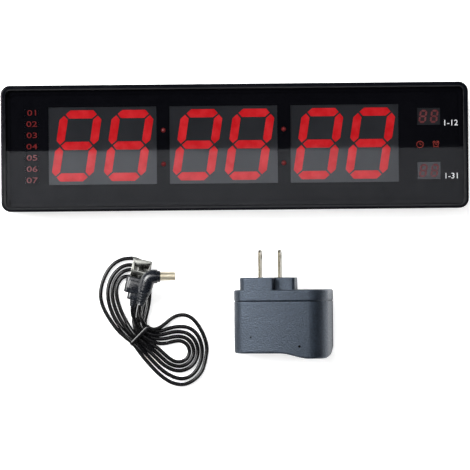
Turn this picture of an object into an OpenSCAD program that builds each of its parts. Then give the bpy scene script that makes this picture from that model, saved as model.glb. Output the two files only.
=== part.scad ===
// LED round timer: a flat wall case with three two-digit displays, its USB lead and its mains adapter.
// The case lies on its back: the rear face is z = 0 and the display looks along +Z, top edge to +Y.

/* [Case] */
// Depth of the case, rear face to rim
case_d = 26; // [25:0.1:34]
// Case to the left of the display windows
field_left = 30.2; // [30:0.1:40]
// Case to the right of the display windows
field_right = 44.2; // [44:0.1:56]
// Case above the display windows
field_top = 13.8; // [13:0.1:20]
// Case below the display windows
field_bottom = 17; // [15:0.1:22]
// Radius of the case's corners, seen from the front
corner_r = 6; // [5:0.1:12]
// Thickness of the moulded walls
wall = 2.2; // [1.8:0.1:2.6]
// Width of the raised rim around the front panel
rim_w = 3.2; // [2.8:0.1:4]
// Depth of the rear cover, up to the parting line
cover_d = 8; // [7:0.1:9.6]

/* [Front panel] */
// Thickness of the smoked panel
panel_t = 2; // [1.5:0.1:2.5]
// How far the panel sits below the rim
panel_recess = 0.5; // [0.3:0.1:1]
// Width of the ledge under the panel's edge
ledge_w = 3; // [2.5:0.1:4]

/* [Displays] */
// Height of a large digit
digit_h = 45; // [36:0.5:54]
// Width between the middles of a large digit's upright bars
digit_w = 21.3; // [17:0.1:25.6]
// Thickness of a large digit's bars
bar_t = 5.2; // [4:0.1:6.3]
// Middle of one digit to the middle of the next
digit_pitch = 32.9; // [28:0.1:40]
// Lean of the digits, in degrees
slant = 8.8; // [0:0.2:12]
// Mask between neighbouring windows
window_gap = 8.2; // [8:0.1:16]
// Height of a small digit
small_digit_h = 8.2; // [6.8:0.1:9.9]

/* [Power] */
// Diameter of the plug's barrel
barrel_d = 5.5; // [5.5:0.1:6.6]
// Length of the plug's barrel
barrel_l = 9.5; // [7.9:0.1:11.4]
// Diameter of the lead
cord_d = 2.5; // [2.2:0.1:3]

/* [Back] */
// Diameter of a push button
button_d = 6; // [5:0.1:7.2]
// Travel of a push button
button_travel = 0.8; // [0.5:0.01:0.98]
// Distance between the two hanging holes
hang_pitch = 200; // [160:1:220]
// Diameter of the wall screw's head that a hanging hole takes
hang_d = 8; // [7:0.1:9.6]
// Diameter of the coin cell
cell_d = 20; // [16:0.5:24]

/* [Adapter] */
// Width of the adapter
adapter_w = 64; // [56:0.2:77]
// Depth of the adapter's body along the blades
adapter_l = 40.3; // [36:0.1:49]
// Height of the adapter's thin end
adapter_low_h = 20.4; // [19:0.1:25]
// Distance between the two blades
blade_pitch = 12.7; // [10:0.1:15.4]
// Length of a blade beyond the boss
blade_l = 17.5; // [16:0.1:18.3]

/* [Hidden] */
$fn = 48;

eps = 0.01;              // overshoot of a cut
fit = 0.2;               // clearance of a loose fit, per side
lip_h = 2.5;             // height of the rear cover's lip inside the bezel
lip_t = 1.2;
tape_t = 0.3;
mask_t = 0.25;
ledge_t = 2;
module_d = 7.6;          // depth of a display module
board_t = 1.6;
bar_gap = 1.1;           // gap between two bars of a digit
bar_cut = 1.2;           // depth of the bars in their module
module_edge = 0.6;       // how far a module reaches past its window
border_x = 1;            // window beyond its digits, per side
border_y = 2.1;
small_border_x = 0.76;
small_border_y = 1.3;
screw_d = 2.6;
screw_head_d = 4.8;
screw_head_h = 1.8;
post_d = 6.4;

// levels, from the front panel back to the board
panel_z = case_d - panel_recess - panel_t;
mask_z = panel_z - mask_t;
ledge_z = panel_z - tape_t;
module_z = mask_z - 0.25;
board_top = module_z - module_d;
board_back = board_top - board_t;

// width over two leaning digits
function pair_w(h, w, t, pitch) = pitch + w + t + h * tan(slant);

// plan of the case
window_w = pair_w(digit_h, digit_w, bar_t, digit_pitch) + 2 * border_x;
window_h = digit_h + 2 * border_y;
window_pitch = window_w + window_gap;
case_w = field_left + 2 * window_pitch + window_w + field_right;
case_h = field_bottom + window_h + field_top;
panel_w = case_w - 2 * rim_w - 0.3;
panel_h = case_h - 2 * rim_w - 0.3;
panel_r = max(corner_r - rim_w, 1);
hole_w = panel_w - 2 * ledge_w;
hole_h = panel_h - 2 * ledge_w;
board_w = case_w - 26;
board_h = case_h - 18;
window_x = (field_left - field_right) / 2;
window_y = (field_bottom - field_top) / 2;
windows = [window_x - window_pitch, window_x, window_x + window_pitch];
colons = [window_x + 0.2 - window_pitch / 2, window_x - 0.2 + window_pitch / 2];
colon_y = [11, -10.4];
legend_x = 19.6 - case_w / 2;
legend_y = 1.4;
legend_pitch = 7.12;
side_x = case_w / 2 - 25;      // middle of the small modules
side_y = [18.2, -16.1];
small_digit_w = 0.43 * small_digit_h;
small_bar_t = 0.14 * small_digit_h;
small_pitch = 0.87 * small_digit_h;
small_w = pair_w(small_digit_h, small_digit_w, small_bar_t, small_pitch) + 2 * small_border_x;
small_h = small_digit_h + 2 * small_border_y;
icon_x = [side_x - 5.6, side_x + 4.5];
icon_y = 0.4;
screw_x = [28 - case_w / 2, 0, case_w / 2 - 28];
screw_y = case_h / 2 - wall - post_d / 2 - fit;
board_screw_x = [colons[0], colons[1], case_w / 2 - 38.5];
board_screw_y = board_h / 2 - 3.6;
post_top = cover_d + lip_h + 0.1;

// back of the case
jack_x = case_w / 2 - 11.5;
jack_side = 9;
pocket_w = 11;
pocket_d = 9.5;
pocket_y = [-24, 6];
pocket_t = 1.5;
jack_top = max(board_top + 5.4, pocket_d + barrel_l + 1.8);
groove_w = cord_d + 1.9;
button_x = 76;
button_y = -20;
button_pitch = 12;
button_well = 2.5;
flange_d = button_d + 2.4;
switch_h = 3.5;
switch_z = board_back - switch_h;
plunger_d = 3.4;
cell_x = -72;
cell_y = -7;
cell_h = 3.2;
door_d = cell_d + 5;
door_hub_d = cell_d + 2;
tab_r = cell_d / 2 + 3.6;
holder_r = cell_d / 2 + 6;
buzzer_x = -18;
buzzer_y = 12;
buzzer_d = 12;
hang_slot = 4.2;
hang_y = 22;
hang_rise = 9;

// adapter, with its seam and its two ends along Y
adapter_x = 30;
seam_y = -98;
cap_l = 7.2;
boss_l = 7.8;
lobe_l = 3.4;                  // how far the lobe drops below the body's end
tilt = 12;                     // lean of the plug face over the resting face
high_h = adapter_low_h + (adapter_w - 6) * tan(tilt);
adapter_wall = 2;
cap_y = seam_y + cap_l;
boss_y = cap_y + boss_l;
end_y = cap_y - adapter_l;
blade_x = adapter_x - 8.2;
blade_z = 14.5;
blade_t = 1.5;
blade_w = 6.35;
socket_x = adapter_x - 9;
socket_z = 13;
socket_w = 13.2;
socket_h = 6;
socket_l = 14;

// lead
hank_h = cord_d + 0.3;         // one layer of cord
bundle_h = 2 * cord_d + 0.2;   // two layers, where the tie holds them
tie_at = [-61.5, -119.3];
tie_turn = 45;
bundle_w = 17;
tie_w = 2.6;
tie_t = 0.8;
usb_at = [-59, -71];           // mouth of the USB plug
usb_turn = -13.6;
usb_shell_w = 12;
usb_shell_h = 4.5;
usb_shell_l = 12;
usb_grip = [15.4, 6.6, 14.5];
relief_l = 4.2;
usb_z = hank_h + 0.2 + usb_grip[1] / 2;
dc_at = [-55.4, -81.6];        // elbow of the round plug
dc_turn = -17;
dc_dip = 8;                    // how far the grip slopes down towards its cord
dc_grip_d = 9;
dc_grip_l = 10;
dc_relief_l = 9;
collar_x = 7.4;                // face that the barrel stands out of
dc_z = usb_z + usb_grip[1] / 2 + 1.8 + dc_grip_d / 2;
dc_end = [dc_at[0] + (dc_grip_l + dc_relief_l) * sin(dc_turn),
    dc_at[1] - (dc_grip_l + dc_relief_l) * cos(dc_turn) * cos(dc_dip),
    dc_z - (dc_grip_l + dc_relief_l) * cos(dc_turn) * sin(dc_dip)];
usb_end = [usb_at[0] + (usb_shell_l + usb_grip[2] + relief_l) * sin(usb_turn),
    usb_at[1] - (usb_shell_l + usb_grip[2] + relief_l) * cos(usb_turn), usb_z];
left_lobe = [[-55.5, -113.2], [-57, -104], [-54.5, -91], [-54, -78], [-60, -69.5], [-71, -69],
    [-82, -76], [-86, -86], [-88, -95], [-86, -103.5], [-80, -113], [-67.5, -125.2]];
right_lobe = [[-55.5, -113.2], [-49.5, -110.5], [-42.5, -106.5], [-35, -105], [-29, -106.5], [-23.5, -112.5],
    [-19, -121.5], [-17.5, -128.5], [-19.5, -136], [-20.5, -142], [-25.5, -148.5], [-34, -152.5],
    [-42, -151], [-49.5, -146.5], [-56.5, -139], [-62.5, -129.5], [-67.5, -125.2]];
dc_route = [[-58.2, -112.8, 4.3], [-59.6, -110.6, 5.6], [-61, -107.6, 8], [-61.7, -104.6, 10.8],
    [-61.5, -101.8, 12.7], dc_end];
usb_route = [[-62.3, -116.4, 4.2], [-63.6, -112.4, 4.4], [-65, -108.8, 5], [-66.3, -105, 5.8],
    [-66.7, -102.6, 6.2], usb_end];

// ---------------------------------------------------------------- helpers

function unit(v) = v / norm(v);
function flat(p) = [p[0], p[1]];

// One corner of an outline, as an arc of radius r
function corner(a, b, c, r, n) =
    r <= 0 ? [b] :
    let (u = unit(a - b), v = unit(c - b), half = acos(u * v) / 2,
         mid = b + unit(u + v) * r / sin(half),
         p = b + u * r / tan(half) - mid, q = b + v * r / tan(half) - mid,
         from = atan2(p[1], p[0]), turn = (atan2(q[1], q[0]) - from + 540) % 360 - 180)
    [for (i = [0:n]) mid + r * [cos(from + turn * i / n), sin(from + turn * i / n)]];

// An outline from points [x, y, corner radius]
function rounded(pts, n = 4) =
    [for (i = [0:len(pts) - 1])
        each corner(flat(pts[(i + len(pts) - 1) % len(pts)]), flat(pts[i]), flat(pts[(i + 1) % len(pts)]),
                    pts[i][2], n)];

// Where two lines meet, each given as a point and a direction
function meet(p, u, q, v) = p + u * ((q - p)[0] * v[1] - (q - p)[1] * v[0]) / (u[0] * v[1] - u[1] * v[0]);

// The same outline, anticlockwise, with every side moved inwards by w
function inset(pts, w) =
    let (n = len(pts))
    [for (i = [0:n - 1])
        let (a = flat(pts[(i + n - 1) % n]), b = flat(pts[i]), c = flat(pts[(i + 1) % n]),
             u = unit(b - a), v = unit(c - b),
             m = meet(b + w * [-u[1], u[0]], u, b + w * [-v[1], v[0]], v))
        [m[0], m[1], max(pts[i][2] - w, 0.6)]];

module rounded_rect(w, h, r) {
    square([w - 2 * r, h], center = true);
    square([w, h - 2 * r], center = true);
    for (x = [-1, 1], y = [-1, 1]) translate([x * (w / 2 - r), y * (h / 2 - r)]) circle(r);
}

module slab(w, h, r, z0, z1) {
    translate([0, 0, z0]) linear_extrude(z1 - z0) rounded_rect(w, h, r);
}

module block(w, h, z0, z1) {
    translate([-w / 2, -h / 2, z0]) cube([w, h, z1 - z0]);
}

module rod(d, z0, z1) {
    translate([0, 0, z0]) cylinder(d = d, h = z1 - z0);
}

module at_case_screws() {
    for (x = screw_x, y = [0, 1]) mirror([0, y, 0]) translate([x, screw_y, 0]) children();
}

module at_board_screws() {
    for (x = board_screw_x, y = [-1, 1]) translate([x, y * board_screw_y, 0]) children();
}

// ---------------------------------------------------------------- digits

// A bar from end to end along X, with pointed tips
function bar(l, t, gap, round) =
    let (d = gap / sqrt(2), a = l / 2 - d, h = t / 2)
    rounded([[-a, 0, 0], [-a + h, -h, round], [a - h, -h, round], [a, 0, 0], [a - h, h, round],
             [-a + h, h, round]], 2);

function lean(pts) = [for (p = pts) [p[0] + p[1] * tan(slant), p[1]]];
function upright(pts) = [for (p = pts) [-p[1], p[0]]];
function moved(pts, x, y) = [for (p = pts) [p[0] + x, p[1] + y]];

// The seven bars of a digit whose outside is h high, with w between its upright bars
module digit(h, w, t, gap) {
    half = (h - t) / 2;
    for (k = [-1, 0, 1]) polygon(lean(moved(bar(w, t, gap, t / 7), 0, k * half)));
    for (x = [-1, 1], y = [-1, 1])
        polygon(lean(moved(upright(bar(half, t, gap, t / 7)), x * w / 2, y * half / 2)));
}

module digit_pair(h, w, t, gap, pitch, z0, z1) {
    translate([0, 0, z0]) linear_extrude(z1 - z0)
        for (x = [-0.5, 0.5]) translate([x * pitch, 0]) digit(h, w, t, gap);
}

module large_digits(i, z0, z1) {
    translate([windows[i], window_y, 0]) digit_pair(digit_h, digit_w, bar_t, bar_gap, digit_pitch, z0, z1);
}

module small_digits(i, z0, z1) {
    translate([side_x, side_y[i], 0])
        digit_pair(small_digit_h, small_digit_w, small_bar_t, small_bar_t / 4, small_pitch, z0, z1);
}

module large_module(i) {
    color("#3a3d3f") difference() {
        translate([windows[i], window_y, 0])
            block(window_w + 2 * module_edge, window_h + 2 * module_edge, board_top, module_z);
        large_digits(i, module_z - bar_cut, module_z + 1);
    }
}

module large_segments(i) {
    color("#d2202c") large_digits(i, module_z - bar_cut, module_z);
}

module small_module(i) {
    color("#232426") difference() {
        translate([side_x, side_y[i], 0])
            block(small_w + 2 * module_edge, small_h + 2 * module_edge, board_top, module_z);
        small_digits(i, module_z - bar_cut, module_z + 1);
    }
}

module small_segments(i) {
    color("#6a4a4e") small_digits(i, module_z - bar_cut, module_z);
}

// ---------------------------------------------------------------- case

module front_bezel() {
    color("#141517") difference() {
        union() {
            difference() {
                slab(case_w, case_h, corner_r, cover_d, case_d);
                slab(case_w - 2 * wall, case_h - 2 * wall, corner_r - wall, cover_d - 1, ledge_z - ledge_t);
            }
            at_case_screws() screw_post();
        }
        slab(hole_w, hole_h, panel_r, ledge_z - ledge_t - 1, case_d);
        slab(panel_w + 0.3, panel_h + 0.3, panel_r, ledge_z, case_d + 1);
        at_case_screws() rod(screw_d + 0.2, post_top - 1, ledge_z - ledge_t);
    }
}

// A post that hangs from the ledge and is ribbed to the long wall
module screw_post() {
    rod(post_d, post_top, ledge_z - ledge_t + eps);
    rib = case_h / 2 - wall - screw_y + eps;
    translate([0, rib / 2, 0]) block(1.6, rib, post_top, ledge_z - ledge_t + eps);
}

module front_panel() {
    color([0.05, 0.05, 0.06, 0.5]) slab(panel_w, panel_h, panel_r, panel_z, panel_z + panel_t);
}

module panel_tape() {
    color("#222222") difference() {
        slab(panel_w - 0.6, panel_h - 0.6, panel_r, ledge_z, panel_z);
        slab(hole_w + 1, hole_h + 1, panel_r, ledge_z - 1, panel_z + 1);
    }
}

module panel_mask() {
    color("#0c0c0e") difference() {
        slab(hole_w - 0.4, hole_h - 0.4, panel_r, mask_z, panel_z);
        for (x = windows) translate([x, window_y, 0]) block(window_w, window_h, mask_z - 1, panel_z + 1);
        for (x = colons, y = colon_y) translate([x, y, 0]) rod(3.2, mask_z - 1, panel_z + 1);
        for (y = side_y) translate([side_x, y, 0]) block(small_w, small_h, mask_z - 1, panel_z + 1);
        at_legends() block(8.6, 3.8, mask_z - 1, panel_z + 1);
        at_icons() rod(5, mask_z - 1, panel_z + 1);
    }
}

module at_legends() {
    for (k = [-3:3]) translate([legend_x, legend_y - k * legend_pitch, 0]) children();
}

module at_icons() {
    for (x = icon_x) translate([x, icon_y, 0]) children();
}

module rear_cover() {
    color("#1b1c1e") difference() {
        union() {
            difference() {
                slab(case_w, case_h, corner_r, 0, cover_d);
                slab(case_w - 2 * wall, case_h - 2 * wall, corner_r - wall, wall, cover_d + 1);
            }
            difference() {
                slab(case_w - 2 * wall - 2 * fit, case_h - 2 * wall - 2 * fit, corner_r - wall, wall, cover_d + lip_h);
                slab(case_w - 2 * (wall + fit + lip_t), case_h - 2 * (wall + fit + lip_t),
                     corner_r - wall, wall - 1, cover_d + lip_h + 1);
                slab(case_w - 2 * wall + 1, case_h - 2 * wall + 1, corner_r, wall - 1, cover_d - 2);
            }
            difference() {
                slab(case_w - 2 * wall + 1, case_h - 2 * wall + 1, corner_r - wall, cover_d - 2, cover_d);
                slab(case_w - 2 * (wall + fit + lip_t), case_h - 2 * (wall + fit + lip_t),
                     corner_r - wall, cover_d - 3, cover_d + 1);
            }
            at_case_screws() rod(post_d, wall - eps, post_top);
            at_board_screws() rod(6, wall - eps, board_back);
            plug_pocket(pocket_t);
            translate([button_x, button_y, 0])
                block(4 * button_pitch + 6 + 2 * pocket_t, 13 + 2 * pocket_t, 0, button_well + wall);
        }
        at_case_screws() {
            rod(screw_head_d + 0.6, -1, 4);
            rod(screw_d + 0.2, 3, post_top + 1);
        }
        at_board_screws() rod(screw_d + 0.2, board_back - 8, board_back + 1);
        plug_pocket(0);
        translate([jack_x, 0, 0]) rod(8.4, pocket_d - 1, pocket_d + pocket_t + 1);
        translate([button_x, button_y, 0]) block(4 * button_pitch + 6, 13, -1, button_well);
        at_buttons() rod(button_d + 2 * fit, 0, button_well + wall + 1);
        for (x = [-1, 1]) translate([x * hang_pitch / 2, hang_y, 0]) hanging_hole();
        translate([cell_x, cell_y, 0]) door_hole();
        translate([buzzer_x, buzzer_y, 0]) sound_holes();
    }
}

// The recess that takes the plug and the groove that leads the cord out of the bottom edge
module plug_pocket(grow) {
    low = grow > 0 ? 0 : -1;
    mid = (pocket_y[0] + pocket_y[1]) / 2;
    translate([jack_x, mid, 0])
        block(pocket_w + 2 * grow, pocket_y[1] - pocket_y[0] + 2 * grow, low, pocket_d + grow);
    run = case_h / 2 + pocket_y[0] + (grow > 0 ? -eps : 1);
    translate([jack_x, pocket_y[0] - run / 2, 0]) block(groove_w + 2 * grow, run, low, groove_w + grow);
}

module hanging_hole() {
    rod(hang_d, -1, wall + 1);
    translate([0, hang_rise / 2, 0]) block(hang_slot, hang_rise, -1, wall + 1);
    translate([0, hang_rise, 0]) rod(hang_slot, -1, wall + 1);
}

module door_hole() {
    rod(door_d + 2 * fit, -1, 1.3);
    rod(door_hub_d + 2 * fit, 0, wall + 1);
    for (a = [0, 180]) rotate(a + 45) sector(tab_r + fit, 36, 0, wall + 1);
}

// A slice of a disc, r from the middle and a degrees wide
module sector(r, a, z0, z1) {
    translate([0, 0, z0]) rotate(-a / 2) rotate_extrude(angle = a) square([r, z1 - z0]);
}

module sound_holes() {
    rod(1.8, -1, wall + 1);
    for (i = [0:5]) rotate(60 * i) translate([3.4, 0, 0]) rod(1.8, -1, wall + 1);
}

module case_screws() {
    color("#8c8f92") at_case_screws() difference() {
        union() {
            rod(screw_head_d, 4 - screw_head_h, 4);
            rod(screw_d, 4, post_top + 7);
        }
        cross_recess(4 - screw_head_h - 1, 4 - screw_head_h + 1);
    }
}

module cross_recess(z0, z1) {
    block(2.6, 0.7, z0, z1);
    block(0.7, 2.6, z0, z1);
}

// ---------------------------------------------------------------- board

module main_board() {
    color("#1f5b3a") difference() {
        block(board_w, board_h, board_back, board_top);
        at_board_screws() rod(screw_d + 0.4, board_back - 1, board_top + 1);
        translate([jack_x, 0, 0]) block(jack_side + 2.4, jack_side + 4, board_back - 1, board_top + 1);
    }
}

module board_screws() {
    color("#8c8f92") at_board_screws() difference() {
        union() {
            rod(screw_head_d, board_top, board_top + screw_head_h);
            rod(screw_d, board_back - 7, board_top);
        }
        cross_recess(board_top + screw_head_h - 1, board_top + screw_head_h + 1);
    }
}

module colon_lamps() {
    color("#7c1f24") for (x = colons, y = colon_y) translate([x, y, 0]) {
        rod(3.8, board_top, board_top + 1);
        rod(3, board_top + 1 - eps, module_z - 1.5);
        translate([0, 0, module_z - 1.5]) rotate_extrude() intersection() {
            circle(1.5);
            square(2);
        }
    }
}

module light_guides() {
    color("#d8d8d4") {
        difference() {
            translate([legend_x, legend_y, 0]) block(11.6, 7 * legend_pitch + 1, board_top, module_z);
            at_legends() block(9.2, legend_pitch - 1.6, board_top - 1, module_z + 1);
        }
        difference() {
            translate([side_x - 0.55, icon_y, 0]) block(16.4, 7.4, board_top, module_z);
            at_icons() rod(5.4, board_top - 1, module_z + 1);
        }
    }
}

module indicator_leds() {
    color("#e6e2c8") {
        at_legends() block(1.6, 0.8, board_top, board_top + 0.7);
        at_icons() block(1.6, 0.8, board_top, board_top + 0.7);
    }
}

module dc_jack() {
    color("#0f0f10") translate([jack_x, 0, 0]) difference() {
        union() {
            block(jack_side, jack_side, pocket_d + pocket_t, jack_top);
            rod(8, pocket_d, pocket_d + pocket_t + eps);
        }
        rod(barrel_d + 0.5, pocket_d - 1, jack_top - 1);
        rod(2, jack_top - 1.5, jack_top + 1);
        block(jack_side + 1, 1, jack_top - 2.4, jack_top - 1.5);
    }
}

module dc_jack_contacts() {
    color("#b9a56a") {
        translate([jack_x, 0, 0]) rod(2, pocket_d + 1.5, jack_top + 0.4);
        for (y = [-3.4, 3.4]) translate([jack_x - jack_side / 2 - 3, y, 0])
            block(6, 1.4, board_back - 0.5, board_back);
    }
}

module clock_chip() {
    color("#111111") translate([12, -6, 0]) {
        block(7, 7, board_back - 1.6, board_back - 0.1);
        for (k = [-2.4:0.8:2.4], s = [-1, 1]) {
            translate([k, s * 4, 0]) block(0.35, 1.4, board_back - 0.4, board_back);
            translate([s * 4, k, 0]) block(1.4, 0.35, board_back - 0.4, board_back);
        }
    }
}

module driver_chips() {
    color("#151515") for (x = [-31, 46, 78]) translate([x, x < 0 ? -14 : 8, 0]) {
        block(10, 4, board_back - 1.6, board_back - 0.1);
        for (k = [-4.4:1.1:4.4], s = [-1, 1])
            translate([k, s * 2.5, 0]) block(0.4, 1.6, board_back - 0.4, board_back);
    }
}

module crystal() {
    color("#b8babd") translate([23, -6, board_back - 1.6]) rotate([-90, 0, 0]) {
        cylinder(d = 3.1, h = 8);
        for (x = [-0.6, 0.6]) translate([x, 0, -2]) cylinder(d = 0.5, h = 2.2, $fn = 16);
    }
}

module capacitors() {
    color("#26324f") for (y = [10, -13]) translate([case_w / 2 - 31, y, 0]) rod(6.3, board_back - 7.7, board_back);
}

module buzzer() {
    color("#101010") translate([buzzer_x, buzzer_y, 0]) difference() {
        rod(buzzer_d, board_back - 8.5, board_back);
        rod(2.2, board_back - 9, board_back - 5);
    }
}

// ---------------------------------------------------------------- buttons

module at_buttons() {
    for (i = [0:3]) at_button(i) children();
}

module at_button(i) {
    translate([button_x + (i - 1.5) * button_pitch, button_y, 0]) children();
}

module push_button(i) {
    base = button_well + wall + fit;
    color("#2c2d30") at_button(i) {
        rod(button_d, 0.8, base + eps);
        rod(flange_d, base, base + 1);
        rod(3, base + 1 - eps, switch_z - 0.9);
    }
}

module switch_plunger(i) {
    color("#c9c2a8") at_button(i) rod(plunger_d, switch_z - 0.9, switch_z + 1);
}

module tact_switches() {
    color("#2a2a2c") at_buttons() difference() {
        block(6, 6, switch_z, board_back);
        rod(plunger_d + 0.3, switch_z - 1, switch_z + 1.2 + button_travel);
    }
}

// ---------------------------------------------------------------- battery

cell_z = wall + 2.2;

module battery_holder() {
    color("#202124") translate([cell_x, cell_y, 0]) difference() {
        rod(2 * holder_r, wall, cell_z + cell_h + 2);
        rod(2 * (tab_r + 0.6), wall - 1, cell_z - 0.6);
        rod(cell_d + 0.8, wall, cell_z + cell_h + 0.8);
    }
}

module battery_contacts() {
    top = cell_z + cell_h + 0.8;
    color("#c8b070") translate([cell_x, cell_y, 0]) {
        block(14, 5, top - 0.3, top);
        rod(1.4, cell_z + cell_h, top - 0.2);
    }
}

module coin_cell() {
    color("#c4c7ca") translate([cell_x, cell_y, 0]) {
        rod(cell_d - 2.4, cell_z, cell_z + 0.5);
        rod(cell_d, cell_z + 0.4, cell_z + cell_h);
    }
}

module battery_door() {
    color("#1b1c1e") translate([cell_x, cell_y, 0]) difference() {
        union() {
            rod(door_d, 0.2, 1.2);
            rod(door_hub_d, 1, wall + 1.4);
            for (a = [0, 180]) rotate(a) sector(tab_r, 28, wall + 0.3, wall + 1.4);
        }
        block(14, 1.8, -1, 1);
        translate([0, 0, wall + 0.6]) rod(door_hub_d - 4, 0, 2);
    }
}

// ---------------------------------------------------------------- adapter

function section() = [
    [-adapter_w / 2 + 2, 0, 5], [adapter_w / 2 - 3, 0, 5], [adapter_w / 2, 8, 6],
    [adapter_w / 2 - 6, high_h, 11], [-adapter_w / 2, adapter_low_h, 8]];

function outline() = let (w = adapter_w / 2) [
    [-w, seam_y, 0], [-w + 0.3, end_y, 3], [0, end_y, 14], [w * 0.45, end_y - lobe_l, 12],
    [w - 1.5, end_y - lobe_l, 7], [w, seam_y, 0]];

// The body's cross-section, swept along Y between two places
module sweep(pts, y0, y1) {
    translate([adapter_x, y1, 0]) rotate([90, 0, 0]) linear_extrude(y1 - y0) polygon(rounded(pts, 8));
}

module plan(pts, h) {
    translate([adapter_x, 0, -1]) linear_extrude(h + 2) polygon(rounded(pts, 8));
}

// Square to the blades, with the origin midway between them
module at_blades() {
    translate([blade_x, 0, blade_z]) rotate([0, -tilt, 0]) children();
}

module adapter_rear_shell() {
    color("#3c4654") difference() {
        intersection() {
            sweep(section(), end_y - lobe_l - 1, seam_y);
            plan(outline(), high_h);
        }
        intersection() {
            sweep(inset(section(), adapter_wall), end_y - lobe_l, seam_y + 1);
            translate([adapter_x - 50, end_y + adapter_wall, -1]) cube([100, seam_y - end_y, 60]);
        }
        translate([socket_x, end_y - 1, socket_z - socket_h / 2 - 0.1])
            translate([-socket_w / 2 - 0.1, 0, 0]) cube([socket_w + 0.2, 6, socket_h + 0.2]);
    }
}

module adapter_front_cap() {
    color("#3c4654") difference() {
        union() {
            sweep(section(), seam_y, cap_y);
            at_blades() translate([0, boss_y, 0]) rotate([90, 0, 0]) linear_extrude(boss_l + 1)
                polygon(rounded(boss_section(), 6));
        }
        sweep(inset(section(), adapter_wall), seam_y - 1, cap_y - adapter_wall);
        at_blades() for (s = [-1, 1])
            translate([s * blade_pitch / 2 - blade_t / 2 - 0.05, cap_y - 8, -blade_w / 2 - 0.05])
                cube([blade_t + 0.1, boss_l + 9, blade_w + 0.1]);
    }
}

function boss_section() = let (step = blade_w / 2 + 1.2) [
    [-18.5, -9, 3], [16.5, -9, 3], [16.5, step, 2], [4, step, 0.6], [4, 10.7, 1], [-18.5, 10.7, 5]];

module adapter_blades() {
    tip = boss_y + blade_l;
    root = cap_y - 7;
    color("#a8a390") at_blades() for (s = [-1, 1]) difference() {
        translate([s * blade_pitch / 2 - blade_t / 2, 0, 0]) rotate([90, 0, 90]) linear_extrude(blade_t)
            polygon(rounded([[root, -blade_w / 2, 0], [tip, -blade_w / 2, 2.6], [tip, blade_w / 2, 2.6],
                             [root, blade_w / 2, 0]], 6));
        translate([s * blade_pitch / 2 - 3, tip - 4.4, 0]) rotate([0, 90, 0]) cylinder(d = 3.2, h = 6);
    }
}

module adapter_board() {
    color("#a08a4a") translate([adapter_x - 26, end_y + 4, adapter_wall + 2]) cube([48, adapter_l - 12, 1.6]);
}

module adapter_transformer() {
    z = adapter_wall + 3.6;
    color("#c9b23a") translate([adapter_x + 12, seam_y - 15, 0]) {
        block(16, 13, z, z + 3);
        block(11, 15, z + 3 - eps, z + 13);
        block(16, 13, z + 13 - eps, z + 16);
    }
}

module adapter_capacitors() {
    color("#26324f") for (x = [-21, -13]) translate([adapter_x + x, seam_y - 8, 0])
        rod(7, adapter_wall + 3.6, adapter_wall + 3.6 + 11);
}

module usb_socket_shell() {
    color("#b4b6b8") translate([socket_x, end_y + 0.4, socket_z]) difference() {
        translate([-socket_w / 2, 0, -socket_h / 2]) cube([socket_w, socket_l, socket_h]);
        translate([-socket_w / 2 + 0.4, -1, -socket_h / 2 + 0.4]) cube([socket_w - 0.8, socket_l, socket_h - 0.8]);
    }
    color("#b4b6b8") for (x = [-5, 5], y = [3, 11])
        translate([socket_x + x, end_y + 0.4 + y, 0])
            block(1.2, 0.4, adapter_wall + 3.6, socket_z - socket_h / 2);
}

module usb_socket_tongue() {
    color("#e8e8e4") translate([socket_x, end_y + 0.4, socket_z]) {
        translate([-5.6, 1.6, 0.6]) cube([11.2, socket_l - 2.6, 1.6]);
        translate([-6.1, socket_l - 3, -2.5]) cube([12.2, 1.9, 5]);
    }
}

// ---------------------------------------------------------------- lead

module at_tie() {
    translate([tie_at[0], tie_at[1], 0]) rotate(tie_turn) children();
}

module lead_hank() {
    color("#151617") {
        difference() {
            union() {
                linear_extrude(hank_h) {
                    polygon(left_lobe);
                    polygon(right_lobe);
                }
                at_tie() block(bundle_w, 3 * tie_w, 0, bundle_h);
            }
            at_tie() block(bundle_w + 6, tie_w, -1, bundle_h + 1);
        }
        at_tie() block(bundle_w, tie_w + 2 * eps, tie_t, bundle_h);
    }
}

module lead_tie() {
    color("#101011") at_tie() difference() {
        block(bundle_w + 2 * tie_t, tie_w, 0, bundle_h + tie_t);
        block(bundle_w, tie_w + 1, tie_t, bundle_h);
    }
}

// A round tube of diameter d along a route, closed at both ends
module tube(route, d, sides = 8) {
    n = len(route);
    rings = [for (i = [0:n - 1])
        let (t = unit(route[min(i + 1, n - 1)] - route[max(i - 1, 0)]), u = unit(cross(t, [1, 0, 0])),
             v = cross(t, u))
        for (k = [0:sides - 1]) route[i] + d / 2 * (cos(360 * k / sides) * u + sin(360 * k / sides) * v)];
    skin = [for (i = [0:n - 2], k = [0:sides - 1])
        [i * sides + k, i * sides + (k + 1) % sides, (i + 1) * sides + (k + 1) % sides, (i + 1) * sides + k]];
    polyhedron(rings, concat([[for (k = [sides - 1:-1:0]) k]], skin,
                             [[for (k = [0:sides - 1]) (n - 1) * sides + k]]));
}

// Points on a smooth curve through the chosen ones
function smooth(p, steps) = [for (i = [0:len(p) - 2], s = [0:steps - 1])
        let (a = p[max(i - 1, 0)], b = p[i], c = p[i + 1], d = p[min(i + 2, len(p) - 1)], t = s / steps)
        0.5 * (2 * b + (c - a) * t + (2 * a - 5 * b + 4 * c - d) * t * t + (3 * b - a - 3 * c + d) * t * t * t),
    p[len(p) - 1]];

module lead_dc_tail() {
    color("#151617") tube(smooth(dc_route, 3), cord_d);
}

module lead_usb_tail() {
    color("#151617") tube(smooth(usb_route, 3), cord_d);
}

// Origin at the elbow, barrel along +X, grip along -Y
module at_dc_plug() {
    translate([dc_at[0], dc_at[1], dc_z]) rotate([dc_dip, 0, 0]) children();
}

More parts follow.
